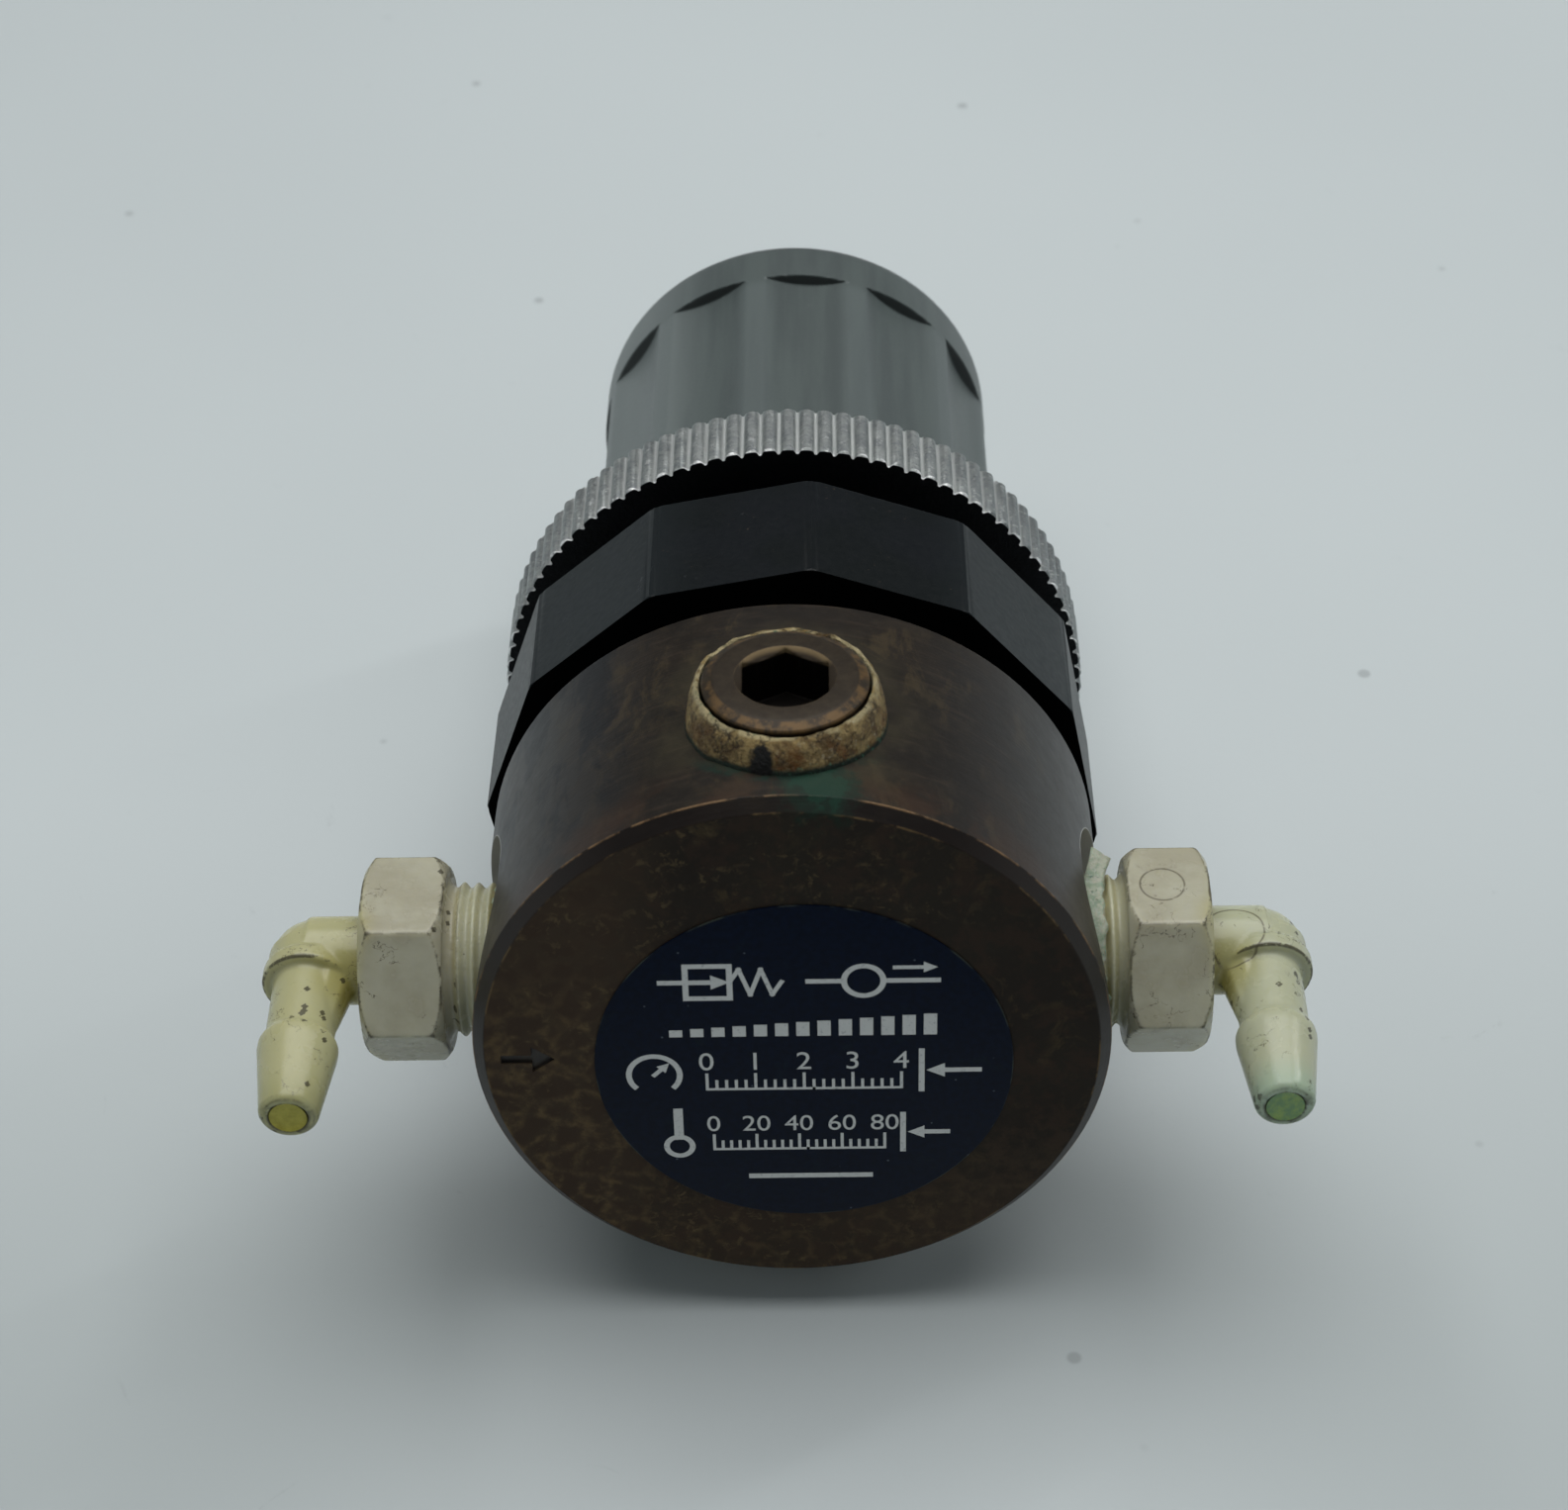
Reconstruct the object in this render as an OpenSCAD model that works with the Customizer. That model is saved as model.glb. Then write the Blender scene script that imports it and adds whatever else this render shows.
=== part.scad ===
// Miniature diaphragm relief valve: a pressure regulator of the backpressure kind, panel mounted.
// Millimetres. The origin lies on the valve axis in the plane of the label stuck to the body's end.
// +Y runs along the valve axis from the label face to the knob, +Z leaves through the upper
// gauge port, -X through the inlet port and +X through the outlet port.

/* [Body] */

// Diameter of the bar the body is turned from
body_d = 41.28; // [30:0.02:60]

// Distance from the label's surface to the back of the body
body_len = 20.98; // [18:0.02:30]

// Chamfer around the label end
body_chamfer = 0.8; // [0.2:0.1:2]

// Distance from the label face to the axes of all four ports
port_y = 9.7; // [8:0.05:14]

// Half the distance between the two flats milled around the side ports
spotface_x = 19.0; // [15:0.05:20.5]

// Radius of each of those round flats
spotface_r = 8.2; // [6:0.1:10]

// Radius of the label
label_r = 13.52; // [8:0.02:18]

// Thickness of the label
label_t = 0.12; // [0.05:0.01:0.5]

// Sideways and vertical shift of the label's centre from the valve axis
label_shift = [0.77, -0.97]; // [-3:0.01:3]

/* [Bonnet] */

// Radius of the threaded neck that screws into the body
neck_r = 18.45; // [16:0.05:19]

// Distance from the label face to the wrench ring
ring_y0 = 23.95; // [22:0.01:26]

// Distance from the label face to the back of the wrench ring
ring_y1 = 34.75; // [30:0.01:40]

// Corner radius of the wrench ring
ring_r = 21.38; // [20:0.01:24]

// Number of flats around the wrench ring and of flutes around the knob
ring_sides = 12; // [6:1:12]

// Angle from +Z towards +X of the first ring corner and of the first knob flute
clock_angle = 4.4; // [-15:0.1:15]

// Outside radius of the panel thread
barrel_r = 15.87; // [15:0.01:18]

// Distance from the label face to the end of the panel thread
barrel_y1 = 50.0; // [46:0.1:52]

/* [Panel nut] */

// Distance from the label face to the front of the panel nut
nut_y0 = 39.1; // [35.1:0.01:42]

// Thickness of the panel nut
nut_t = 5.5; // [4:0.1:9]

// Radius over the knurl
nut_r = 21.1; // [18:0.05:26]

// Number of knurl teeth
nut_teeth = 100; // [40:1:120]

/* [Knob] */

// Radius of the knob
knob_r = 15.4; // [12:0.05:15.7]

// Distance from the label face to the front of the knob's skirt
knob_y0 = 50.4; // [50.2:0.1:54]

// Distance from the label face to the far end of the knob
knob_y1 = 79.5; // [74:0.1:90]

// Rounding of the knob's far edge
knob_round = 2.7; // [0.5:0.1:4]

// Distance from the label face to the blind end of the flutes
flute_y1 = 73.3; // [60:0.1:76]

// Depth of the flutes
flute_depth = 0.85; // [0.2:0.05:1]

/* [Elbow fittings] */

// Distance from the valve axis to the hexagon of the inlet elbow
inlet_hex_x = 22.75; // [21:0.05:25]

// Distance from the valve axis to the hexagon of the outlet elbow
outlet_hex_x = 21.95; // [21:0.05:25]

// Width of the hexagons across their flats
hex_af = 12.23; // [10:0.01:14]

// Length of the hexagons
hex_len = 5.5; // [4:0.1:8]

// Distance from a hexagon's inner face to the axis of its barb
elbow_reach = 9.4; // [8:0.05:14]

// Length of a barb arm from the elbow's centre
arm_len = 13.95; // [11:0.05:20]

// Tilt of both barb arms below the valve axis
arm_tilt = 4.5; // [0:0.5:25]

// Largest radius of the barb
barb_r = 2.64; // [2:0.01:4]

// Radius of the shank behind the barb
shank_r = 2.26; // [1.6:0.01:3]

// Radius of the flow passage in a fitting
flow_r = 1.24; // [0.8:0.01:2]

/* [Gauge port plugs] */

// Distance from the valve axis to the faces of the plugs
plug_z1 = 23.15; // [21:0.05:26]

// Radius of a plug at its face
plug_r = 5.3; // [5:0.01:5.6]

// Width of the hexagonal socket across its flats
plug_socket_af = 5.6; // [4:0.01:6]

/* [Valve and spring] */

// Radius of the opening in the seat nozzle
orifice_r = 1.5; // [0.8:0.05:2.2]

// Mean radius of the range spring
spring_r = 8.2; // [7.6:0.05:9]

// Radius of the spring wire
wire_r = 1.05; // [0.6:0.05:1.3]

// Number of coils in the range spring
spring_coils = 7; // [4:1:10]

// Distance from the label face to the front of the adjusting nut
carrier_y0 = 46; // [40:0.5:52]

/* [Hidden] */

$fn = 96;
body_r = body_d / 2;
pipe_taper = 1 / 32;         // radius lost per millimetre of pipe thread
pipe_pitch = 0.941;
pipe_depth = 0.62;
port_end = 13.0;             // inner end of the tapped side ports
gauge_end = 13.6;            // inner end of the tapped gauge ports
port_mouth_r = 5.19;         // side port radius at the milled flat
gauge_mouth_r = 5.25;        // gauge port radius at the body's skin
feed_r = 1.6;                // drilled passages between ports and chamber
feed_at = 9.4;               // distance of the chamber feeds from the valve axis
outlet_y = 7.4;              // height of the outlet passage under the nozzle
riser_r = 1.3;               // short passages up into the chamber
chamber_r = 12.2;
chamber_y0 = 12.8;
nozzle_y0 = 9.4;             // inner end of the seat nozzle
nozzle_r = 2.95;
o_ring_y = chamber_y0 - 0.4;
seat_y = 15.6;               // face the diaphragm is clamped on
diaphragm_t = 0.6;
slip_t = 0.6;
neck_y0 = seat_y + diaphragm_t + slip_t;
slip_in_r = 12.9;
cavity_af = 21;              // hexagonal bore that keys the adjusting nut
cavity_y0 = 24;
cavity_y1 = 63.5;
tower_r = 13.4;              // spring case inside the knob
tower_y1 = 67.5;
vent_r = 0.8;
screw_r = 4.0;
screw_hole_r = 4.05;
gap = 0.05;
af_to_r = 1 / cos(30) / 2;   // width across flats to corner radius of a hexagon
nozzle_top = 14.9;
disc_y0 = 14.98;             // front of the moving valve disc
stem_r = 1.5;
stem_hole_r = 1.55;
plate_y0 = seat_y + diaphragm_t;
plate_y1 = plate_y0 + 1.8;
shank_top = 21.2;
boss_r = 6.9;                // spring guides on the plate and on the adjusting nut
washer_t = 0.55;
collar_t = 2.0;
hub_r = 7.0;
drive_af = 6.7;
drive_y1 = 76.0;
drive_y0 = tower_y1 + 1.3;
groove_y0 = tower_y1 + 0.1;  // groove of the screw's spring clip
groove_r = 3.3;
screw_y0 = 33.4;
carrier_t = 6;
knurl_depth = 0.62;
flute_r = 11;
knob_wall = 1.9;
knob_bore_r = tower_r + 0.25;
socket_depth = 4.6;

// Turns a piece drawn along its own Z onto the valve axis, starting at distance y.
module along_y(y = 0) {
  translate([0, y, 0]) rotate([-90, 0, 0]) children();
}

// Turns a piece drawn along its own Z outwards through a side port: side is -1 inlet, +1 outlet.
module out_of_side(side) {
  translate([0, port_y, 0]) rotate([0, 90 * side, 0]) children();
}

// Turns a piece drawn along its own Z outwards through a gauge port: side is +1 top, -1 bottom.
module out_of_gauge(side) {
  translate([0, port_y, 0]) rotate([side > 0 ? 0 : 180, 0, 0]) children();
}

module ring(r_out, r_in, h) {
  difference() {
    cylinder(r = r_out, h = h);
    translate([0, 0, -1]) cylinder(r = r_in, h = h + 2);
  }
}

module hex_prism(af, h) {
  cylinder(r = af * af_to_r, h = h, $fn = 6);
}

module torus(r_mean, r_wire) {
  rotate_extrude() translate([r_mean, 0]) circle(r = r_wire);
}

// External pipe thread starting at z = 0 with crest radius r0 and narrowing with z.
module pipe_thread(r0, len) {
  turns = floor(len / pipe_pitch);
  flanks = [
    for (i = [0:turns - 1]) for (k = [0, 1])
      [r0 - pipe_taper * pipe_pitch * (i + k / 2) - (k == 0 ? 0 : pipe_depth), pipe_pitch * (i + k / 2)]
  ];
  end_r = r0 - pipe_taper * len - pipe_depth / 2;
  rotate_extrude() polygon(concat([[0, 0]], flanks, [[end_r, turns * pipe_pitch], [end_r, len], [0, len]]));
}

// Chamfered tapped bore from the skin inwards, drawn with z = 0 on the valve axis.
module port_cut(z_skin, r_skin, z_end) {
  r_end = r_skin - pipe_taper * (z_skin - z_end);
  translate([0, 0, z_end]) cylinder(r1 = r_end, r2 = r_skin, h = z_skin - z_end);
  translate([0, 0, z_skin - 0.01]) cylinder(r1 = r_skin, r2 = r_skin + pipe_taper * 6, h = 6);
  translate([0, 0, z_skin - 0.35]) cylinder(r1 = r_skin, r2 = r_skin + 2.4, h = 2.4);
}

// Passage from the inner end of a tapped port to a feed hole that opens into the chamber floor.
module chamber_feed(port_inner) {
  translate([0, 0, feed_at - feed_r]) cylinder(r = feed_r, h = port_inner - feed_at + feed_r + 0.5);
}

module feed_riser(a) {
  along_y(port_y) rotate([0, 0, a]) translate([feed_at, 0, 0])
    cylinder(r = riser_r, h = chamber_y0 - port_y + 0.5);
}

module body_blank() {
  along_y() rotate_extrude() polygon([
    [0, label_t],
    [body_r - body_chamfer, label_t],
    [body_r, label_t + body_chamfer],
    [body_r, body_len],
    [0, body_len],
  ]);
}

// Flow arrow sunk into the label face beside the label, pointing into the valve.
module flow_arrow() {
  translate([-17.1, 0, -0.3]) rotate([-90, 0, 0]) linear_extrude(height = label_t + 0.25) polygon([
    [-1.7, -0.35], [0.3, -0.35], [0.3, -1.1], [1.8, 0], [0.3, 1.1], [0.3, 0.35], [-1.7, 0.35],
  ]);
}

module valve_body() {
  color("#8a7a5c") difference() {
    body_blank();
    along_y(seat_y) cylinder(r = neck_r + gap, h = body_len);
    along_y(chamber_y0) cylinder(r = chamber_r, h = body_len);
    along_y(nozzle_y0 - 0.2) cylinder(r = nozzle_r + gap, h = 5);
    along_y(o_ring_y - 0.4) cylinder(r = 3.9, h = 2);
    along_y(outlet_y) cylinder(r = 2.0, h = 3);
    translate([0, outlet_y, 0]) rotate([0, 90, 0]) cylinder(r = feed_r, h = port_end + 0.5);
    for (side = [-1, 1]) out_of_side(side) {
      port_cut(spotface_x, port_mouth_r, port_end);
      translate([0, 0, spotface_x]) cylinder(r = spotface_r, h = 5);
    }
    for (side = [-1, 1]) out_of_gauge(side) {
      port_cut(body_r - 0.05, gauge_mouth_r, gauge_end);
      chamber_feed(gauge_end);
    }
    out_of_side(-1) chamber_feed(port_end);
    for (a = [90, 180, 270]) feed_riser(a);
    flow_arrow();
  }
}

module face_label() {
  color("#2b3348") translate([label_shift[0], 0, label_shift[1]]) along_y() cylinder(r = label_r, h = label_t);
}

module seat_nozzle() {
  color("#b9b4a6") along_y(nozzle_y0) difference() {
    union() {
      cylinder(r = nozzle_r, h = 4);
      translate([0, 0, chamber_y0 - nozzle_y0]) hex_prism(8, 1.3);
      translate([0, 0, chamber_y0 - nozzle_y0]) cylinder(r1 = 3.4, r2 = 2.3, h = nozzle_top - chamber_y0);
    }
    translate([0, 0, -1]) cylinder(r = orifice_r, h = 10);
  }
}

module nozzle_o_ring() {
  color("#1d1d1f") along_y(o_ring_y) torus(3.42, 0.39);
}

module valve_disc() {
  color("#a8905c") along_y(disc_y0) difference() {
    union() {
      cylinder(r = 4.5, h = seat_y - disc_y0);
      cylinder(r = stem_r, h = shank_top - disc_y0);
    }
    translate([0, 0, -1]) cylinder(r = 3.3, h = 1.35);
  }
}

module valve_pad() {
  color("#26262a") along_y(nozzle_top + 0.02) cylinder(r = 3.25, h = disc_y0 + 0.35 - nozzle_top - 0.02);
}

// Clamped rubber disc with one rolled convolution between the plate and the slip ring.
module diaphragm() {
  roll_r = 11.2;
  color("#3a3a3c") along_y(seat_y) difference() {
    union() {
      cylinder(r = neck_r - gap, h = diaphragm_t);
      torus(roll_r, 0.95);
    }
    translate([0, 0, -2]) cylinder(r = stem_hole_r, h = 4);
    translate([0, 0, diaphragm_t]) cylinder(r = neck_r, h = 2);
    translate([0, 0, diaphragm_t]) torus(roll_r, 0.75);
  }
}

module diaphragm_plate() {
  color("#b4b8bc") along_y(plate_y0) difference() {
    union() {
      cylinder(r = 10.6, h = plate_y1 - plate_y0);
      cylinder(r = boss_r, h = plate_y1 - plate_y0 + 2.5);
    }
    translate([0, 0, -1]) cylinder(r = stem_hole_r, h = 9);
    translate([0, 0, plate_y1 - plate_y0]) cylinder(r = 5.2, h = 5);
  }
}

module disc_lock_nut() {
  color("#9aa0a6") along_y(plate_y1) difference() {
    hex_prism(5.5, 2.4);
    translate([0, 0, -1]) cylinder(r = 1.53, h = 5);
  }
}

module slip_ring() {
  color("#c0b283") along_y(seat_y + diaphragm_t) ring(neck_r - gap, slip_in_r, slip_t);
}

// Closed helical tube swept round the valve axis between the plate and the adjusting nut.
module range_spring() {
  steps = 20;
  sides = 8;
  y0 = plate_y1 + wire_r + 0.02;
  rise = carrier_y0 - plate_y1 - 2 * wire_r - 0.04;
  n = spring_coils * steps;
  points = [
    for (i = [0:n]) for (j = [0:sides - 1])
      let (
        a = 360 * i / steps,
        q = 360 * j / sides,
        t = i / n,
        r = spring_r + wire_r * cos(q)
      ) [r * sin(a), y0 + rise * t + wire_r * sin(q), r * cos(a)]
  ];
  skin = [
    for (i = [0:n - 1]) for (j = [0:sides - 1])
      let (k = (j + 1) % sides) [i * sides + j, i * sides + k, (i + 1) * sides + k, (i + 1) * sides + j]
  ];
  cap_a = [for (j = [0:sides - 1]) sides - 1 - j];
  cap_b = [for (j = [0:sides - 1]) n * sides + j];
  color("#8f949a") polyhedron(points = points, faces = concat(skin, [cap_a, cap_b]), convexity = 8);
}

module adjusting_nut() {
  color("#b09a63") along_y(carrier_y0) difference() {
    union() {
      hex_prism(cavity_af - 0.12, carrier_t);
      translate([0, 0, -3]) cylinder(r = boss_r, h = 3.01);
    }
    translate([0, 0, -4]) cylinder(r = screw_r + gap, h = 12);
  }
}

module adjusting_screw() {
  collar_y0 = cavity_y1 - gap - washer_t - collar_t;
  color("#9ea3a8") difference() {
    union() {
      along_y(screw_y0 + 0.6) cylinder(r = screw_r, h = drive_y0 - screw_y0 - 0.5);
      along_y(screw_y0) cylinder(r1 = screw_r - 0.6, r2 = screw_r, h = 0.61);
      along_y(collar_y0) cylinder(r = hub_r, h = collar_t);
      along_y(drive_y0) hex_prism(drive_af, drive_y1 - drive_y0);
    }
    along_y(groove_y0) ring(6, groove_r, 0.85);
  }
}

module thrust_washer() {
  color("#c9c3b0") along_y(cavity_y1 - gap - washer_t) ring(hub_r, screw_hole_r + 0.05, washer_t - 0.02);
}

// Spring clip in the screw's groove, open on one side.
module screw_circlip() {
  color("#6c7076") along_y(groove_y0 + 0.04) difference() {
    ring(5.6, groove_r + 0.03, 0.75);
    translate([0, -1.6, -1]) cube([10, 3.2, 3]);
  }
}

// Flat-sided wrench ring whose corners are just broken at both faces.
module wrench_ring() {
  ring_len = ring_y1 - ring_y0;
  broken = 0.15;
  along_y(ring_y0) intersection() {
    rotate([0, 0, clock_angle - 90]) cylinder(r = ring_r, h = ring_len, $fn = ring_sides);
    rotate_extrude() polygon([
      [0, 0], [ring_r - broken, 0], [ring_r + 0.1, broken + 0.1], [ring_r + 0.1, ring_len - broken - 0.1],
      [ring_r - broken, ring_len], [0, ring_len],
    ]);
  }
}

module bonnet() {
  color("#232427") difference() {
    union() {
      along_y(neck_y0) cylinder(r = neck_r, h = ring_y0 - neck_y0 + 0.5);
      wrench_ring();
      along_y(ring_y1 - 0.5) cylinder(r = barrel_r, h = barrel_y1 - ring_y1 - 0.1);
      along_y(barrel_y1 - 0.6) cylinder(r1 = barrel_r, r2 = barrel_r - 0.6, h = 0.6);
      along_y(barrel_y1 - 1) cylinder(r = tower_r, h = tower_y1 - barrel_y1 + 1);
    }
    along_y(neck_y0 - 1) cylinder(r = slip_in_r, h = cavity_y0 - neck_y0 + 1);
    along_y(cavity_y0 - 1) hex_prism(cavity_af, cavity_y1 - cavity_y0 + 1);
    along_y(cavity_y1 - 1) cylinder(r = screw_hole_r, h = 6);
    translate([0, (ring_y0 + ring_y1) / 2, -30]) cylinder(r = vent_r, h = 25);
  }
}

module panel_nut() {
  step = 360 / nut_teeth;
  root_r = nut_r - knurl_depth;
  teeth = [
    for (i = [0:nut_teeth - 1]) for (k = [[-0.38, root_r], [-0.12, nut_r], [0.12, nut_r], [0.38, root_r]])
      k[1] * [cos(step * (i + k[0])), sin(step * (i + k[0]))]
  ];
  color("#a9adb0") along_y(nut_y0) difference() {
    intersection() {
      linear_extrude(height = nut_t) polygon(teeth);
      rotate_extrude() polygon([
        [0, 0], [nut_r - 0.15, 0], [nut_r + 0.05, 0.2], [nut_r + 0.05, nut_t - 0.3],
        [nut_r - 0.25, nut_t], [0, nut_t],
      ]);
    }
    translate([0, 0, -1]) cylinder(r = barrel_r + gap, h = nut_t + 2);
    translate([0, 0, -0.01]) cylinder(r1 = barrel_r + 0.8, r2 = barrel_r + gap, h = 0.75);
  }
}

module knob() {
  profile_h = knob_y1 - knob_y0;
  color("#55595a") along_y(knob_y0) difference() {
    union() {
      cylinder(r = knob_r, h = profile_h - knob_round);
      cylinder(r = knob_r - knob_round, h = profile_h);
      translate([0, 0, profile_h - knob_round]) torus(knob_r - knob_round, knob_round);
    }
    for (i = [0:ring_sides - 1])
      rotate([0, 0, clock_angle + i * 360 / ring_sides]) translate([0, -knob_r - flute_r + flute_depth, -1])
        cylinder(r = flute_r, h = flute_y1 - knob_y0 + 1);
    difference() {
      translate([0, 0, -1]) cylinder(r = knob_bore_r, h = profile_h - knob_wall + 1);
      translate([0, 0, drive_y1 - knob_y0 - 7]) cylinder(r = hub_r, h = 30);
    }
    translate([0, 0, -1]) hex_prism(drive_af + 0.1, drive_y1 - knob_y0 + 1.2);
  }
}

module gauge_plug(side) {
  len = plug_z1 - gauge_end - 1.3;
  flats_r = plug_socket_af / 2;
  out_of_gauge(side) difference() {
    union() {
      translate([0, 0, plug_z1 - len]) cylinder(r1 = plug_r - pipe_taper * len, r2 = plug_r, h = len - 0.4);
      translate([0, 0, plug_z1 - 0.4]) cylinder(r1 = plug_r, r2 = plug_r - 0.4, h = 0.4);
    }
    translate([0, 0, plug_z1 - socket_depth]) rotate([0, 0, 30]) hex_prism(plug_socket_af, socket_depth + 1);
    translate([0, 0, plug_z1 - 0.25]) cylinder(r1 = flats_r, r2 = flats_r + 0.45, h = 0.3);
  }
}

// Cone of dried sealant around the plug where it enters the body.
module plug_sealant(side) {
  color("#b5aa8a") difference() {
    out_of_gauge(side) rotate_extrude() polygon([
      [plug_r + 0.02, body_r - 0.9], [6.65, body_r - 0.9], [6.65, body_r - 0.05], [5.95, body_r + 1.2],
      [plug_r + 0.25, plug_z1 - 0.35], [plug_r + 0.02, plug_z1 - 0.35],
    ]);
    along_y() cylinder(r = body_r + 0.01, h = body_len);
  }
}

// One-piece elbow drawn on the outlet side, its hexagon starting at distance hex_x.
module elbow_fitting(hex_x) {
  thread_len = 8.6;
  elbow_neck_r = 2.97;
  collar_r = 3.02;
  elbow_x = hex_x + elbow_reach;
  difference() {
    union() {
      translate([hex_x, port_y, 0]) rotate([0, -90, 0]) pipe_thread(plug_r - 0.03, thread_len);
      intersection() {
        translate([hex_x, port_y, 0]) rotate([arm_tilt, 0, 0]) rotate([0, 90, 0])
          rotate([0, 0, 90]) hex_prism(hex_af, hex_len);
        translate([hex_x, port_y, 0]) rotate([0, 90, 0]) rotate_extrude() polygon([
          [0, 0], [hex_af / 2, 0], [hex_af * af_to_r + 0.1, 0.75], [hex_af * af_to_r + 0.1, hex_len - 0.75],
          [hex_af / 2, hex_len], [0, hex_len],
        ]);
      }
      translate([hex_x + 1, port_y, 0]) rotate([0, 90, 0]) cylinder(r = elbow_neck_r, h = elbow_reach - 0.9);
      translate([elbow_x - 0.25, port_y - 0.15, 0]) sphere(r = 2.85);
      translate([elbow_x, port_y, 0]) rotate([90 + arm_tilt, 0, 0]) {
        translate([0, 0, -0.2]) cylinder(r = 2.8, h = 1.8);
        translate([0, 0, 1.3]) cylinder(r = collar_r, h = 1.15);
        cylinder(r = shank_r, h = arm_len - 4);
        translate([0, 0, 7.3]) cylinder(r1 = shank_r, r2 = barb_r, h = 0.6);
        translate([0, 0, 7.9]) cylinder(r = barb_r, h = 0.6);
        translate([0, 0, 8.5]) cylinder(r1 = barb_r, r2 = 1.95, h = arm_len - 8.8);
        translate([0, 0, arm_len - 0.3]) cylinder(r1 = 1.95, r2 = 1.7, h = 0.3);
        translate([0, 0, 2.4]) rotate([90, 0, 0]) translate([0, 0, -1.2]) linear_extrude(height = 2.4)
          polygon([[-shank_r - 1.8, -1.2], [0, -1.2], [0, 2.2], [-shank_r + 0.3, 1.4]]);
      }
    }
    translate([hex_x - thread_len - 1, port_y, 0]) rotate([0, 90, 0])
      cylinder(r = flow_r, h = elbow_reach + thread_len + 1);
    translate([elbow_x, port_y, 0]) sphere(r = flow_r);
    translate([elbow_x, port_y, 0]) rotate([90 + arm_tilt, 0, 0]) cylinder(r = flow_r, h = arm_len + 1);
  }
}

// Remains of sealing tape around the exposed thread, drawn on the outlet side.
module thread_tape(x0, x1, start, sweep) {
  translate([x0, port_y, 0]) rotate([0, 90, 0]) rotate([0, 0, start]) rotate_extrude(angle = sweep)
    polygon([[plug_r, 0], [plug_r + 0.18, 0], [plug_r + 0.26, x1 - x0], [plug_r, x1 - x0]]);
}

module top_gauge_plug() {
  color("#94866a") gauge_plug(1);
}

module bottom_gauge_plug() {
  color("#94866a") gauge_plug(-1);
}

module top_plug_sealant() {
  plug_sealant(1);
}

module bottom_plug_sealant() {
  plug_sealant(-1);
}

module inlet_elbow() {
  color("#d6cfb4") mirror([1, 0, 0]) elbow_fitting(inlet_hex_x);
}

module outlet_elbow() {
  color("#d6cfb4") elbow_fitting(outlet_hex_x);
}

module inlet_thread_tape() {
  color("#d9dcd0") mirror([1, 0, 0]) thread_tape(spotface_x + 0.3, inlet_hex_x - 0.6, 150, 110);
}

module outlet_thread_tape() {
  color("#d9dcd0") thread_tape(spotface_x + 0.3, outlet_hex_x - 0.1, 100, 170);
}

valve_body();
face_label();
seat_nozzle();
nozzle_o_ring();
valve_disc();
valve_pad();
diaphragm();
diaphragm_plate();
disc_lock_nut();
slip_ring();
range_spring();
adjusting_nut();
adjusting_screw();
thrust_washer();
screw_circlip();
bonnet();
panel_nut();
knob();
top_gauge_plug();
bottom_gauge_plug();
top_plug_sealant();
bottom_plug_sealant();
inlet_elbow();
outlet_elbow();
inlet_thread_tape();
outlet_thread_tape();
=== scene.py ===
import math

import bmesh
import bpy
from mathutils import Matrix, Vector, noise


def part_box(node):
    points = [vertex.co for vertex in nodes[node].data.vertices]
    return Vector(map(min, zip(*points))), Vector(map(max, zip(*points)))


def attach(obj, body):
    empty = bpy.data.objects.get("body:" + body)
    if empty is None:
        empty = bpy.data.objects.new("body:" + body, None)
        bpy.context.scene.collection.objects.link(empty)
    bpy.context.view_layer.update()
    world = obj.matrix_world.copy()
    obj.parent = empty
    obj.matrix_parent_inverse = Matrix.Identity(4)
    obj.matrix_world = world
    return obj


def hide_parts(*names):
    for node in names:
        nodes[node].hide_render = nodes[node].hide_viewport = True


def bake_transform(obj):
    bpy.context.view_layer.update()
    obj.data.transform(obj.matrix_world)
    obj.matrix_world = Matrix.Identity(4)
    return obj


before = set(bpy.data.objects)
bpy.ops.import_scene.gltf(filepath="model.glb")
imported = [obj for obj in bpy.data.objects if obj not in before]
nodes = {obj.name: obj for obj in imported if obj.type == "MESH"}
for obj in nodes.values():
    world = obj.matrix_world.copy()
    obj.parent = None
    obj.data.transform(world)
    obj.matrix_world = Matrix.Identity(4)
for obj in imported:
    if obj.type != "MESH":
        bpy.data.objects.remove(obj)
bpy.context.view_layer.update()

MM = 0.001
TAU = 2 * math.pi


def node_box(name):
    """Lowest and highest corner of a CAD node, in millimetres."""
    low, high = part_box(name)
    return [value / MM for value in low], [value / MM for value in high]


# ---------------------------------------------------------------- sizes, in millimetres

body_low, body_high = node_box("valve_body")
BODY_R = body_high[0]
BODY_Y0 = body_low[1]
CHAMFER = 0.8
PORT_Y = 9.7
CLOCK = math.radians(4.4)
SIDES = 12

NUT_Y0 = 39.1
NUT_Y1 = 44.6
NUT_R = 21.1
NUT_TEETH = 100
TOOTH_DEPTH = 0.46

knob_low, knob_high = node_box("knob")
KNOB_R = 15.4
KNOB_Y0 = knob_low[1]
KNOB_Y1 = knob_high[1]
KNOB_ROUND = 2.7
FLUTE_R = 11.0
FLUTE_DEPTH = 0.85
FLUTE_END = 73.3

bonnet_low, bonnet_high = node_box("bonnet")
NECK_Y0 = bonnet_low[1]
NECK_R = 18.45
RING_Y0 = 23.95
RING_Y1 = 34.75
RING_R = 21.38
NECK_PITCH = 1.5
BARREL_R = 15.87
BARREL_Y1 = 50.0
BARREL_PITCH = 1.5875
MOUTH_R = 12.9
SCREW_BORE_R = 4.05
TOWER_R = 13.4
TOWER_Y1 = bonnet_high[1]
CAVITY_R = 10.5 / math.cos(math.radians(30))
CAVITY_Y0 = 24.0
CAVITY_Y1 = 63.5

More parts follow.
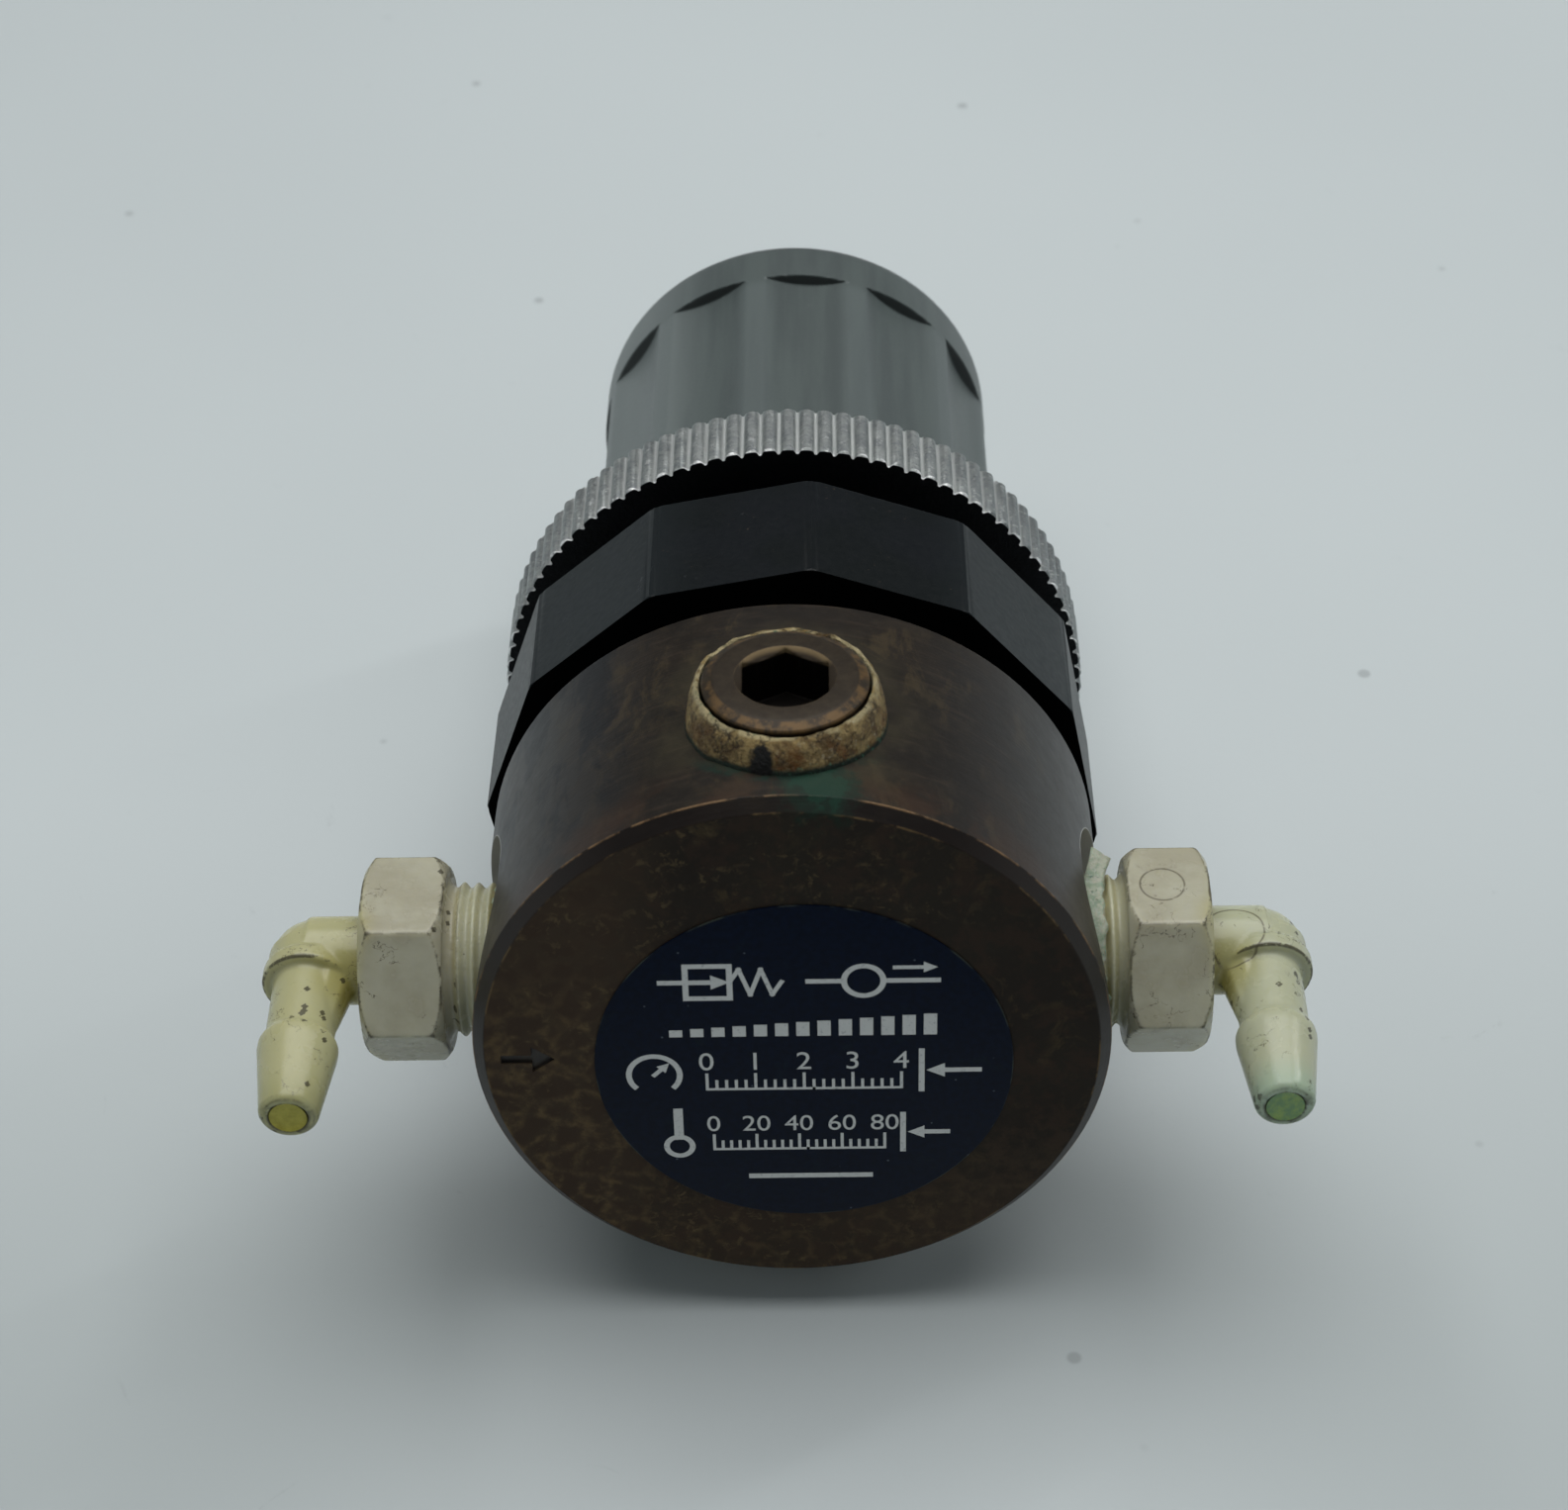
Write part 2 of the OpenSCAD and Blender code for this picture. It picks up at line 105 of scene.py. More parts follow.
plug_low, plug_high = node_box("top_gauge_plug")
PLUG_TOP = plug_high[2]
PLUG_R = 5.3
PIPE_PITCH = 0.941
SINK_R = 3.22
SOCKET_AF = 5.45

label_low, label_high = node_box("face_label")
LABEL_R = (label_high[0] - label_low[0]) / 2
LABEL_X = (label_high[0] + label_low[0]) / 2
LABEL_Z = (label_high[2] + label_low[2]) / 2
LABEL_T = label_high[1] - label_low[1]

INLET_ARM_X = -32.15
OUTLET_ARM_X = 31.35
ARM_TILT = math.radians(4.5)
ARM_LEN = 13.95
VOXEL = 0.13

spring_low, spring_high = node_box("range_spring")
WIRE_R = 1.0
SPRING_R = spring_high[0] - WIRE_R
SPRING_Y0 = spring_low[1] + WIRE_R
SPRING_Y1 = spring_high[1] - WIRE_R
COILS = 7
PLATE_COILS = 2

SHEET_R, SHEET_Y1 = node_box("diaphragm")[1][:2]
SHEET_T = 0.6
ROLL_R = 11.2
SECTORS = 12

PIN_MARKS = ((24.3, PORT_Y - 0.4, 1.45), (29.2, PORT_Y - 1.2, 1.9))


# ---------------------------------------------------------------- material graphs


def srgb(text):
    """Linear colour from a hexadecimal display colour."""
    parts = [int(text[i:i + 2], 16) / 255 for i in (1, 3, 5)]
    linear = [c / 12.92 if c <= 0.04045 else ((c + 0.055) / 1.055) ** 2.4 for c in parts]
    return (*linear, 1.0)


class Nodes:
    """Shader nodes under construction; every method but new, fill and put returns the socket it made."""

    def __init__(self, tree, source, scale):
        self.tree = tree
        scaled = self.new("VectorMath")
        scaled.operation = "SCALE"
        self.fill(scaled, {"Vector": self.new("TexCoord").outputs[source], "Scale": scale})
        self.place = scaled.outputs[0]
        self.x, self.y, self.z = self.new("SeparateXYZ", Vector=self.place).outputs

    def new(self, kind, **inputs):
        node = self.tree.nodes.new("ShaderNode" + kind)
        self.fill(node, inputs)
        return node

    def fill(self, node, inputs):
        """Sets or links a node's inputs by name, with spaces written as underscores."""
        for name, value in inputs.items():
            self.put(node.inputs[name.replace("_", " ")], value)

    def put(self, socket, value):
        if hasattr(value, "is_output"):
            self.tree.links.new(value, socket)
        else:
            socket.default_value = value

    def math(self, operation, a, b=0.0):
        step = self.new("Math")
        step.operation = operation
        self.put(step.inputs[0], a)
        self.put(step.inputs[1], b)
        return step.outputs[0]

    def stretch(self, x=1.0, y=1.0, z=1.0):
        step = self.new("VectorMath", Vector=self.place)
        step.operation = "MULTIPLY"
        step.inputs[1].default_value = (x, y, z)
        return step.outputs[0]

    def noise(self, size, detail=4.0, rough=0.55, place=None, distortion=0.0):
        """Cloud noise whose blobs are about size millimetres across."""
        place = place or self.place
        step = self.new("TexNoise", Vector=place, Scale=1 / size, Detail=detail, Roughness=rough)
        self.fill(step, {"Distortion": distortion})
        return step.outputs[0]

    def cells(self, size, feature="F1", place=None):
        """Distance inside random cells about size millimetres across."""
        step = self.new("TexVoronoi")
        step.feature = feature
        self.fill(step, {"Vector": place or self.place, "Scale": 1 / size, "Randomness": 1.0})
        return step.outputs[0]

    def ramp(self, factor, low, high):
        """0 below low, 1 above high, smooth between; low may be above high."""
        step = self.new("MapRange", Value=factor, From_Min=min(low, high), From_Max=max(low, high))
        self.fill(step, {"To_Min": float(low > high), "To_Max": float(low <= high)})
        step.interpolation_type = "SMOOTHSTEP"
        return step.outputs[0]

    def mix(self, factor, a, b):
        step = self.new("Mix")
        step.data_type = "RGBA"
        self.put(step.inputs["Factor"], factor)
        self.put(step.inputs[6], srgb(a) if isinstance(a, str) else a)
        self.put(step.inputs[7], srgb(b) if isinstance(b, str) else b)
        return step.outputs[2]

    def blots(self, low, high, size, *shape, **more):
        """Noise turned into patches: 0 where it is under low, 1 where it is over high."""
        return self.ramp(self.noise(size, *shape, **more), low, high)

    def plus(self, a, b):
        return self.math("ADD", a, b)

    def minus(self, a, b):
        return self.math("SUBTRACT", a, b)

    def size(self, a):
        return self.math("ABSOLUTE", a)

    def either(self, a, b):
        return self.math("MAXIMUM", a, b)

    def all(self, *factors):
        """Product of the factors."""
        product = factors[0]
        for factor in factors[1:]:
            product = self.math("MULTIPLY", product, factor)
        return product

    def far(self, x=None, y=None, z=None):
        """Distance in millimetres from a point, a line or a plane: give the coordinates that count."""
        total = None
        for axis, value in ((self.x, x), (self.y, y), (self.z, z)):
            if value is None:
                continue
            offset = self.minus(axis, value)
            square = self.all(offset, offset)
            total = square if total is None else self.plus(total, square)
        return self.math("SQRT", total)


class Graph(Nodes):
    """A material under construction, in millimetres of the object's own space. tone is its colour so far."""

    def __init__(self, name):
        self.material = bpy.data.materials.new(name)
        self.material.use_nodes = True
        tree = self.material.node_tree
        tree.nodes.clear()
        super().__init__(tree, "Object", 1 / MM)
        self.bsdf = self.new("BsdfPrincipled")
        self.new("OutputMaterial", Surface=self.bsdf.outputs[0])

    def coat(self, colour, *factors):
        """Lays colour over the running tone as strongly as the product of the factors."""
        self.tone = self.mix(self.all(*factors), self.tone, colour)

    def set(self, **values):
        """Principled inputs by name."""
        self.fill(self.bsdf, values)

    def edges(self, radius):
        """1 on sharp edges within radius millimetres, 0 on open faces."""
        bevel = self.new("Bevel", Radius=radius * MM)
        bevel.samples = 6
        dot = self.new("VectorMath", Vector=bevel.outputs[0])
        dot.operation = "DOT_PRODUCT"
        self.put(dot.inputs[1], self.new("NewGeometry").outputs["Normal"])
        return self.ramp(self.minus(1.0, dot.outputs["Value"]), 0.02, 0.2)

    def hairs(self, size, width):
        """Fine wandering lines."""
        level = self.size(self.minus(self.noise(size, 4, 0.6), 0.5))
        return self.ramp(level, width, width * 0.35)

    def crests(self, low, high):
        """1 along the convex edges of a dense mesh, 0 elsewhere."""
        return self.ramp(self.new("NewGeometry").outputs["Pointiness"], low, high)

    def hollow(self, distance, low, high):
        """1 in tight recesses, 0 in the open."""
        occlusion = self.new("AmbientOcclusion", Distance=distance * MM)
        occlusion.samples = 6
        return self.ramp(occlusion.outputs["AO"], high, low)

    def relief(self, height, depth, bevel=0.0):
        """Bumps the surface by depth millimetres, with edges rounded by bevel millimetres."""
        step = self.new("Bump", Distance=depth * MM, Height=height)
        if bevel:
            rounded = self.new("Bevel", Radius=bevel * MM)
            rounded.samples = 4
            self.fill(step, {"Normal": rounded.outputs[0]})
        self.set(Normal=step.outputs[0])


def tarnished_brass():
    """Dark brown patina on brass: tan mottling, black stains, worn rims with painted highlight lines, flanks
    paler as painted sheen, a painted lit wall in the spot-faces and a little verdigris.
    """
    g = Graph("tarnished_brass")
    cloud = g.noise(8, 6, 0.6)
    fine = g.noise(1.3, 6, 0.7)
    radius = g.far(x=0, z=0)
    face = g.ramp(g.y, BODY_Y0 + 0.1, BODY_Y0 + 0.03)
    upper = g.ramp(g.z, 6, 14)

    g.tone = g.mix(g.ramp(cloud, 0.38, 0.62), "#1d1813", "#241d16")
    g.coat("#352c20", g.ramp(fine, 0.45, 0.75), 0.4)
    brushed = g.noise(1.0, 4, 0.6, g.stretch(0.25, 2.6, 0.25))
    g.coat("#40342a", g.ramp(brushed, 0.5, 0.75), 0.45)
    mottle = g.blots(0.5, 0.63, 2.2, 7, 0.74, g.stretch(1.0, 0.55, 1.0), 0.5)
    g.coat("#453a27", mottle, g.blots(0.38, 0.58, 7, 3), 0.6)
    patina = g.blots(0.52, 0.62, 3.4, 6, 0.7, g.stretch(1.0, 0.5, 1.0), 0.8)
    g.coat("#17120d", patina, 0.5)
    # Flanks paler: painted sheen where the sides catch light from the surroundings; the scratches further
    # down keep to these flanks.
    side = g.ramp(g.size(g.x), 7, 19.5)
    g.coat("#302e2e", side, 0.62)
    warm = g.all(g.ramp(g.y, 6, 1), g.ramp(g.z, 8, 15), g.blots(0.4, 0.58, 4, 5, 0.65))
    g.coat("#3a2619", warm, 0.6)
    stain = g.all(
        g.blots(0.5, 0.57, 3.0, 6, 0.65, g.stretch(1.0, 0.4, 1.0), 0.4),
        g.ramp(g.x, -8, -13),
        g.ramp(g.y, 2, 6),
    )
    g.coat("#101014", stain, 0.9)
    scratch = g.blots(0.66, 0.71, 0.9, 7, 0.75, g.stretch(1.0, 0.12, 1.0), 0.8)
    g.coat("#15151a", scratch, side, 0.6)
    # Painted light: the rear wall of each spot-face lightened, where the recess would leave it in shade.
    lit_rear_wall = g.all(
        g.ramp(g.far(y=PORT_Y, z=0), 8.0, 8.15),
        g.ramp(g.size(g.x), 18.5, 18.8),
        g.ramp(g.y, PORT_Y, PORT_Y + 2),
    )
    g.coat("#c4c2be", lit_rear_wall, g.ramp(g.far(y=PORT_Y, z=0), 8.3, 8.22), 0.95)

    sides = g.tone
    g.tone = g.mix(g.ramp(cloud, 0.4, 0.62), "#251f18", "#221b15")
    olive = g.all(g.blots(0.5, 0.64, 2.0, 8, 0.75, distortion=0.7), g.blots(0.42, 0.58, 6, 3))
    g.coat("#4a3d27", olive, 0.55)
    left = g.ramp(g.x, -6, -13)
    lower = g.all(g.ramp(g.z, -9, -15), 0.5)
    patch_zone = g.either(left, lower)
    wander = g.noise(1.1, 5, 0.65)
    border = g.cells(2.3, "DISTANCE_TO_EDGE", g.stretch(1.0, 0.2, 1.1))
    border = g.plus(border, g.all(wander, 0.45))
    spots = g.all(patch_zone, g.ramp(border, 0.3, 0.42))
    lines = g.all(patch_zone, g.ramp(border, 0.4, 0.22), g.ramp(fine, 0.4, 0.62), g.ramp(g.z, 9, -1))
    rust = g.all(g.blots(0.46, 0.6, 2.6, 6, 0.7), 0.6)
    g.coat("#33251c", rust)
    g.coat("#493a2b", patch_zone, 0.55)
    g.coat("#37291f", spots, 0.55)
    g.coat("#6a583c", lines, 0.55)
    flecks = g.all(g.blots(0.53, 0.64, 0.9, 7, 0.72, distortion=0.5), g.blots(0.4, 0.6, 4.5, 3))
    g.coat("#63543a", flecks, g.ramp(g.x, 16, 2), 0.6)
    lower_right = g.all(g.ramp(g.x, 4, 11), g.ramp(g.z, -4, -10))
    g.coat("#3d3226", lower_right, g.ramp(fine, 0.35, 0.65), 0.6)
    g.tone = g.mix(face, sides, g.tone)

    rim = g.all(g.ramp(g.y, BODY_Y0 + CHAMFER + 0.1, BODY_Y0 + CHAMFER - 0.02), g.ramp(radius, 19.75, 19.9))
    # Chamfer rim dark at the top and paler towards the flanks; the paler flanks are a painted sheen.
    rim_tone = g.mix(g.ramp(g.size(g.x), 9, 17), "#120b09", "#2c2725")
    g.coat(rim_tone, rim, 0.9)
    # Bright lines along both edges of the chamfer: painted highlight, broken up where brass is worn bare.
    outer_glint_line = g.all(g.ramp(g.far(y=BODY_Y0 + CHAMFER), 0.09, 0.02), g.ramp(radius, 20.3, 20.5))
    inner_glint_line = g.all(face, g.ramp(g.size(g.minus(radius, BODY_R - CHAMFER)), 0.1, 0.02))
    worn = g.blots(0.42, 0.6, 2.2, 5, 0.7)
    g.coat("#8d7050", outer_glint_line, worn, 0.8)
    g.coat("#7d6746", inner_glint_line, g.blots(0.5, 0.62, 3.5, 5, 0.7), 0.5)

    near_plug = g.far(x=0, y=PORT_Y)
    ring = g.all(
        g.ramp(near_plug, 7.7, 7.1),
        g.ramp(g.size(g.z), 12, 18),
        g.blots(0.4, 0.56, 1.2, 4),
        g.ramp(g.y, PORT_Y - 3.5, PORT_Y - 6),
    )
    g.coat("#0b2a22", ring, 0.9)
    halo = g.all(g.ramp(near_plug, 10.5, 7.2), upper, g.ramp(cloud, 0.38, 0.6))
    g.coat("#4a4530", halo, 0.35)
    ragged = g.all(g.noise(1.1, 6, 0.7), 5.0)
    drip = g.minus(g.far(x=2.1, y=1.9, z=BODY_R), ragged)
    g.coat("#122a20", g.ramp(drip, 0.6, -0.7), 0.75)
    g.coat("#154233", g.ramp(drip, -0.7, -1.4), 0.45)
    g.set(
        Base_Color=g.tone,
        Metallic=g.all(g.minus(1.0, face), 0.15),
        Roughness=g.plus(g.all(face, 0.2), g.plus(0.3, g.all(fine, 0.2))),
        Specular_IOR_Level=g.minus(0.34, g.all(face, 0.2)),
    )
    turned = g.noise(0.35, 2, 0.5, g.stretch(0.15, 3.0, 0.15))
    g.relief(g.plus(g.all(fine, 0.7), g.all(turned, 0.25)), 0.03, bevel=0.07)
    return g.material


def plug_brass():
    """The plugs' brown brass, lighter along the edges as painted highlight over wear, with a painted lit
    crescent in the countersink and painted black shade down the socket.
    """
    g = Graph("plug_brass")
    fine = g.noise(0.9, 6, 0.7)
    height = g.size(g.z)
    reach = g.far(x=0, y=PORT_Y)
    g.tone = g.mix(g.ramp(fine, 0.35, 0.7), "#2f2820", "#3a3227")
    g.coat("#2a2018", g.blots(0.5, 0.7, 0.5, 3, 0.6), 0.4)
    wall = g.all(g.ramp(height, PLUG_TOP - 0.02, PLUG_TOP - 0.1), g.ramp(reach, 4.5, 4.7))
    g.coat("#6b5334", wall, g.blots(0.42, 0.6, 1.3, 5, 0.7), 0.7)
    # Painted shade: the wall's lower part near black where it sinks into the sealant.
    g.coat("#0c0a08", wall, g.ramp(height, PLUG_TOP - 0.45, PLUG_TOP - 0.7), 0.9)
    # Lighter edges: painted highlight mixed with wear.
    g.coat("#7f6a48", g.edges(0.22), g.blots(0.38, 0.6, 1.1, 4), 0.6)
    cone = g.ramp(reach, SINK_R + 0.02, SINK_R - 0.04)
    cone = g.all(cone, g.ramp(height, PLUG_TOP - 0.52, PLUG_TOP - 0.42))
    g.coat("#3d342a", cone, 0.8)
    # Painted highlight: the back of the countersink, which faces the light, a pale crescent.
    lit_sink_back = g.ramp(g.y, PORT_Y + 1.0, PORT_Y + 2.0)
    g.coat("#8a7758", cone, lit_sink_back, g.ramp(reach, 2.85, 3.15), 0.9)
    # Painted shade: the socket's depths near black.
    deep = g.ramp(height, PLUG_TOP - 0.46, PLUG_TOP - 0.6)
    well = g.ramp(reach, 3.5, 3.4)
    g.coat("#060403", deep, well, 0.96)
    g.set(Base_Color=g.tone, Metallic=0.3, Roughness=0.46, Specular_IOR_Level=0.24)
    g.relief(fine, 0.02, bevel=0.1)
    return g.material


def black_bonnet():
    """Black moulding with scuffs, grey dust and faintly rubbed corners, its side flats paler as painted
    reflection and its front face darkened as painted shade.
    """
    g = Graph("black_bonnet")
    fine = g.noise(0.5, 4, 0.6)
    left = g.ramp(g.x, -5, -11)
    patches = g.blots(0.5, 0.62, 5, 3)
    chips = g.blots(0.62, 0.7, 1.3, 8, 0.8, g.stretch(1.0, 0.6, 1.0))
    scuff = g.all(chips, g.either(left, patches))
    g.tone = g.mix(g.blots(0.35, 0.65, 7, 3), "#040a0c", "#080d12")
    # Paler side flats, left and right: painted reflection of the bright surroundings; the scuffs above also
    # crowd the left.
    g.coat("#1e2427", g.either(left, g.ramp(g.x, 9, 14)), 0.6)
    g.coat("#2c3133", g.ramp(g.size(g.x), 17, 20), 0.6)
    g.coat("#3c4144", scuff, 0.45)
    specks = g.all(g.blots(0.62, 0.68, 0.35, 5, 0.8), g.blots(0.54, 0.62, 3.2, 3))
    g.coat("#6a5c50", specks, 0.5)
    g.coat("#4a5054", g.edges(0.14), g.blots(0.4, 0.6, 1.4, 4), 0.5)
    # Painted shade: the ring's front face and the neck in front of it, which face away from the light,
    # darker still.
    front = g.ramp(g.far(y=RING_Y0), 0.08, 0.02)
    g.coat("#040505", g.either(front, g.ramp(g.y, RING_Y0 - 0.05, RING_Y0 - 0.2)))
    g.set(
        Base_Color=g.tone,
        Roughness=g.plus(0.3, g.all(fine, 0.2)),
        Specular_IOR_Level=g.minus(0.24, g.all(front, 0.22)),
    )
    g.relief(g.plus(g.all(fine, 0.4), g.all(scuff, 0.6)), 0.03, bevel=0.06)
    return g.material


def turned_aluminium():
    """Grey knurled nut: dull teeth, grooves paler as painted reflection, a painted glint on the front edge,
    faces darkened as painted shade, darker towards the right as painted shade, and tiny nicks.
    """
    g = Graph("turned_aluminium")
    fine = g.noise(0.3, 6, 0.75)
    patchy = g.noise(1.3, 6, 0.65)
    radius = g.far(x=0, z=0)
    # Paler grooves: painted reflection.
    groove_sheen = g.ramp(radius, NUT_R - TOOTH_DEPTH * 0.55, NUT_R - TOOTH_DEPTH * 0.9)
    g.tone = g.mix(g.ramp(patchy, 0.35, 0.65), "#8f9495", "#a9adac")
    # Painted shade: darker towards the right.
    g.coat("#84898a", g.ramp(g.x, 9, 17), 0.6)
    g.coat("#5a5f5e", g.ramp(fine, 0.53, 0.64), 0.5)
    g.coat("#cfd2d1", g.blots(0.56, 0.64, 0.45, 4, 0.7), 0.6)
    g.coat("#d0d3d2", groove_sheen, 0.9)
    # Painted shade: the front and rear faces near black, as dark as the surroundings they reflect.
    faces = g.either(g.ramp(g.y, NUT_Y0 + 0.04, NUT_Y0 + 0.01), g.ramp(g.y, NUT_Y1 - 0.05, NUT_Y1 - 0.02))
    g.coat("#1a1c1f", faces)
    glint = g.all(g.ramp(g.y, NUT_Y0 + 0.26, NUT_Y0 + 0.16), g.minus(1.0, faces))
    glint = g.all(glint, g.blots(0.42, 0.6, 0.9, 3, 0.6))
    g.coat("#f4f5f5", glint)
    g.set(
        Base_Color=g.tone,
        Metallic=0.9,
        Roughness=g.plus(0.22, g.all(fine, 0.3)),
        Emission_Color=(1.0, 1.0, 1.0, 1.0),
        Emission_Strength=g.all(glint, g.ramp(g.z, 4, 16), 0.07),
    )
    g.relief(fine, 0.09, bevel=0.04)
    return g.material


def knob_plastic():
    """Mid-grey satin plastic with a fine grain, paler along the lands, its flanks paler as painted
    reflection and its flute ends darkened as painted shade.
    """
    g = Graph("knob_plastic")
    fine = g.noise(0.25, 3, 0.6)
    streak = g.noise(1.4, 4, 0.6, g.stretch(1.0, 0.08, 1.0))
    radius = g.far(x=0, z=0)
    g.tone = g.mix(g.ramp(streak, 0.35, 0.65), "#4b5353", "#535c5b")
    g.coat("#646b6b", g.blots(0.62, 0.75, 3, 6, 0.7), 0.25)
    land = g.all(g.ramp(radius, KNOB_R - 0.5, KNOB_R + 0.05), g.ramp(g.y, FLUTE_END, FLUTE_END - 1.5))
    g.coat("#656e6e", land, 0.45)
    # Painted reflection: paler towards both flanks, most on the left.
    g.coat("#656d6d", g.ramp(g.x, 7, 14), 0.35)
    g.coat("#757d7d", g.ramp(g.x, -5, -13), 0.8)
    # Painted shade: the steep walls where the flutes end, near black.
    close = g.all(g.ramp(g.y, FLUTE_END - 0.16, FLUTE_END - 0.13), g.ramp(radius, 15.38, 15.25))
    g.coat("#0c0f10", close, 0.8)
    g.set(Base_Color=g.tone, Roughness=g.plus(0.38, g.all(fine, 0.15)), Specular_IOR_Level=0.5)
    g.relief(fine, 0.012)
    return g.material


def natural_nylon(name, side, arm_x, arm_tone, tip_tone):
    """Cream translucent moulding, yellower along the arm, dirty along its edges and tinted at the tip."""
    g = Graph(name)
    cloud = g.noise(3.5, 4, 0.55)
    grime = g.noise(1.3, 6, 0.7)
    away = g.all(g.x, side)
    g.tone = g.mix(g.ramp(cloud, 0.35, 0.65), "#b5b39f", "#a8a48f")
    g.coat("#b4b49c", g.ramp(away, 22.4, 21.6))
    near_arm = g.ramp(g.far(x=arm_x), 4.6, 2.8)
    g.coat(arm_tone, near_arm)
    # Painted shade: darker olive in the hollows.
    g.coat("#9a8f4e", g.hollow(2.5, 0.2, 0.75), 0.5)
    # Painted shade in the elbow's inner corner.
    shaded_crook = g.ramp(g.far(x=arm_x - side * 2.8, y=PORT_Y - 3.2), 3.0, 0.6)
    g.coat("#a39a4c", shaded_crook, 0.55)
    tip = g.all(g.ramp(g.y, -1.2, -4.2), g.ramp(g.far(x=arm_x), 3.5, 3.0))
    g.coat(tip_tone, tip, 0.85)
    past_thread = g.ramp(away, 21.6, 22.2)
    dirt = g.all(g.crests(0.513, 0.535), g.ramp(grime, 0.38, 0.5), past_thread)
    g.coat("#3f3a2c", dirt, 0.85)
    scratch = g.all(g.hairs(1.8, 0.008), g.blots(0.56, 0.6, 2.3, 3), past_thread)
    g.coat("#4d4737", scratch, 0.75)
    scuff = g.all(g.blots(0.52, 0.66, 0.5, 6, 0.8), g.blots(0.6, 0.7, 3.2, 3), past_thread)
    g.coat("#6b6552", scuff, 0.5)
    specks = g.all(g.ramp(g.cells(1.7), 0.05, 0.02), g.blots(0.5, 0.58, 4, 2))
    g.coat("#3d3628", specks, 0.7)
    if side > 0:
        for x, y, radius in PIN_MARKS:
            circle = g.size(g.minus(g.far(x=x, y=y), radius))
            line = g.all(g.ramp(circle, 0.1, 0.03), g.ramp(g.z, 0.5, 1.5), g.ramp(grime, 0.36, 0.46))
            g.coat("#57503f", line, 0.75)
    g.set(
        Base_Color=g.tone,
        Roughness=g.plus(0.16, g.all(cloud, 0.2)),
        Subsurface_Weight=0.45,
        Subsurface_Radius=(1.0, 0.9, 0.55),
        Subsurface_Scale=1.2 * MM,
        Specular_IOR_Level=0.45,
    )
    g.relief(g.plus(g.noise(0.8, 3), g.all(g.noise(2.5, 2), 1.5)), 0.03)
    return g.material


def residue(name, tone_a, tone_b):
    """Dull green or yellow film inside a barb's bore."""
    g = Graph(name)
    g.set(Base_Color=g.mix(g.blots(0.35, 0.65, 0.6, 5, 0.7), tone_a, tone_b), Roughness=0.5)
    g.relief(g.noise(0.5, 3), 0.05)
    return g.material


def dried_sealant():
    """Tan paste with a cream lip, orange-brown stains, dark pits, painted shade in the gap round the plug
    and verdigris where it meets the brass.
    """
    g = Graph("dried_sealant")
    cloud = g.noise(1.6, 7, 0.7)
    fine = g.noise(0.35, 6, 0.75)
    reach = g.far(x=0, y=PORT_Y)
    g.tone = g.mix(g.ramp(cloud, 0.36, 0.6), "#634c29", "#ae9763")
    g.coat("#3a2d1b", g.ramp(fine, 0.48, 0.62), 0.6)
    stain = g.all(g.blots(0.48, 0.6, 1.5, 5, 0.65), g.ramp(reach, 5.9, 6.5))
    g.coat("#6a3f08", stain, 0.85)
    lip = g.all(g.ramp(reach, 5.95, 5.75), g.blots(0.4, 0.52, 1.8, 4))
    g.coat("#cfc196", lip, 0.8)
    g.coat("#c4ba98", g.blots(0.58, 0.68, 0.6, 5, 0.7), g.ramp(g.x, -4, 4), 0.75)
    skin_z = g.math("SQRT", g.minus(BODY_R ** 2, g.all(g.x, g.x)))
    height = g.minus(g.size(g.z), skin_z)
    g.coat("#22180e", g.hairs(1.1, 0.03), g.blots(0.46, 0.54, 2.0, 3), 0.75)
    foot = g.ramp(g.plus(height, g.all(fine, 0.5)), 0.75, 0.45)
    g.coat("#0c2c24", foot, 0.95)
    crust = g.all(g.ramp(height, 0.7, 0.35), g.blots(0.56, 0.62, 0.45, 5, 0.7), g.ramp(g.x, -1, 2))
    g.coat("#4f8a70", crust, 0.8)
    # Painted shade: a dark broken line in the gap between the sealant and the plug.
    gap = g.all(g.ramp(reach, 5.55, 5.42), g.blots(0.3, 0.44, 0.8, 5))
    g.coat("#0a1512", gap, 0.9)
    green = g.all(g.ramp(reach, 5.75, 5.5), g.blots(0.58, 0.64, 0.7, 5, 0.7))
    g.coat("#3c7562", green, 0.8)
    blob = g.minus(g.far(x=-1.6, y=PORT_Y - 7.0), g.all(cloud, 1.9))
    g.coat("#040504", g.ramp(blob, 0.15, -0.15))
    g.set(Base_Color=g.tone, Roughness=0.5, Specular_IOR_Level=0.35)
    g.relief(g.plus(cloud, g.all(fine, 0.6)), 0.6)
    return g.material


def tape_film():
    """White sealing tape gone grey-green, dark along its ragged edges."""
    g = Graph("tape_film")
    g.tone = g.mix(g.blots(0.42, 0.62, 0.9, 5, 0.7), "#a9ae9c", "#84977f")
    g.coat("#2f5a49", g.blots(0.6, 0.67, 0.5, 5, 0.7), 0.7)
    g.set(Base_Color=g.tone, Roughness=0.5, Subsurface_Weight=0.2, Subsurface_Scale=0.5 * MM)
    g.relief(g.noise(0.5, 4), 0.12)
    return g.material


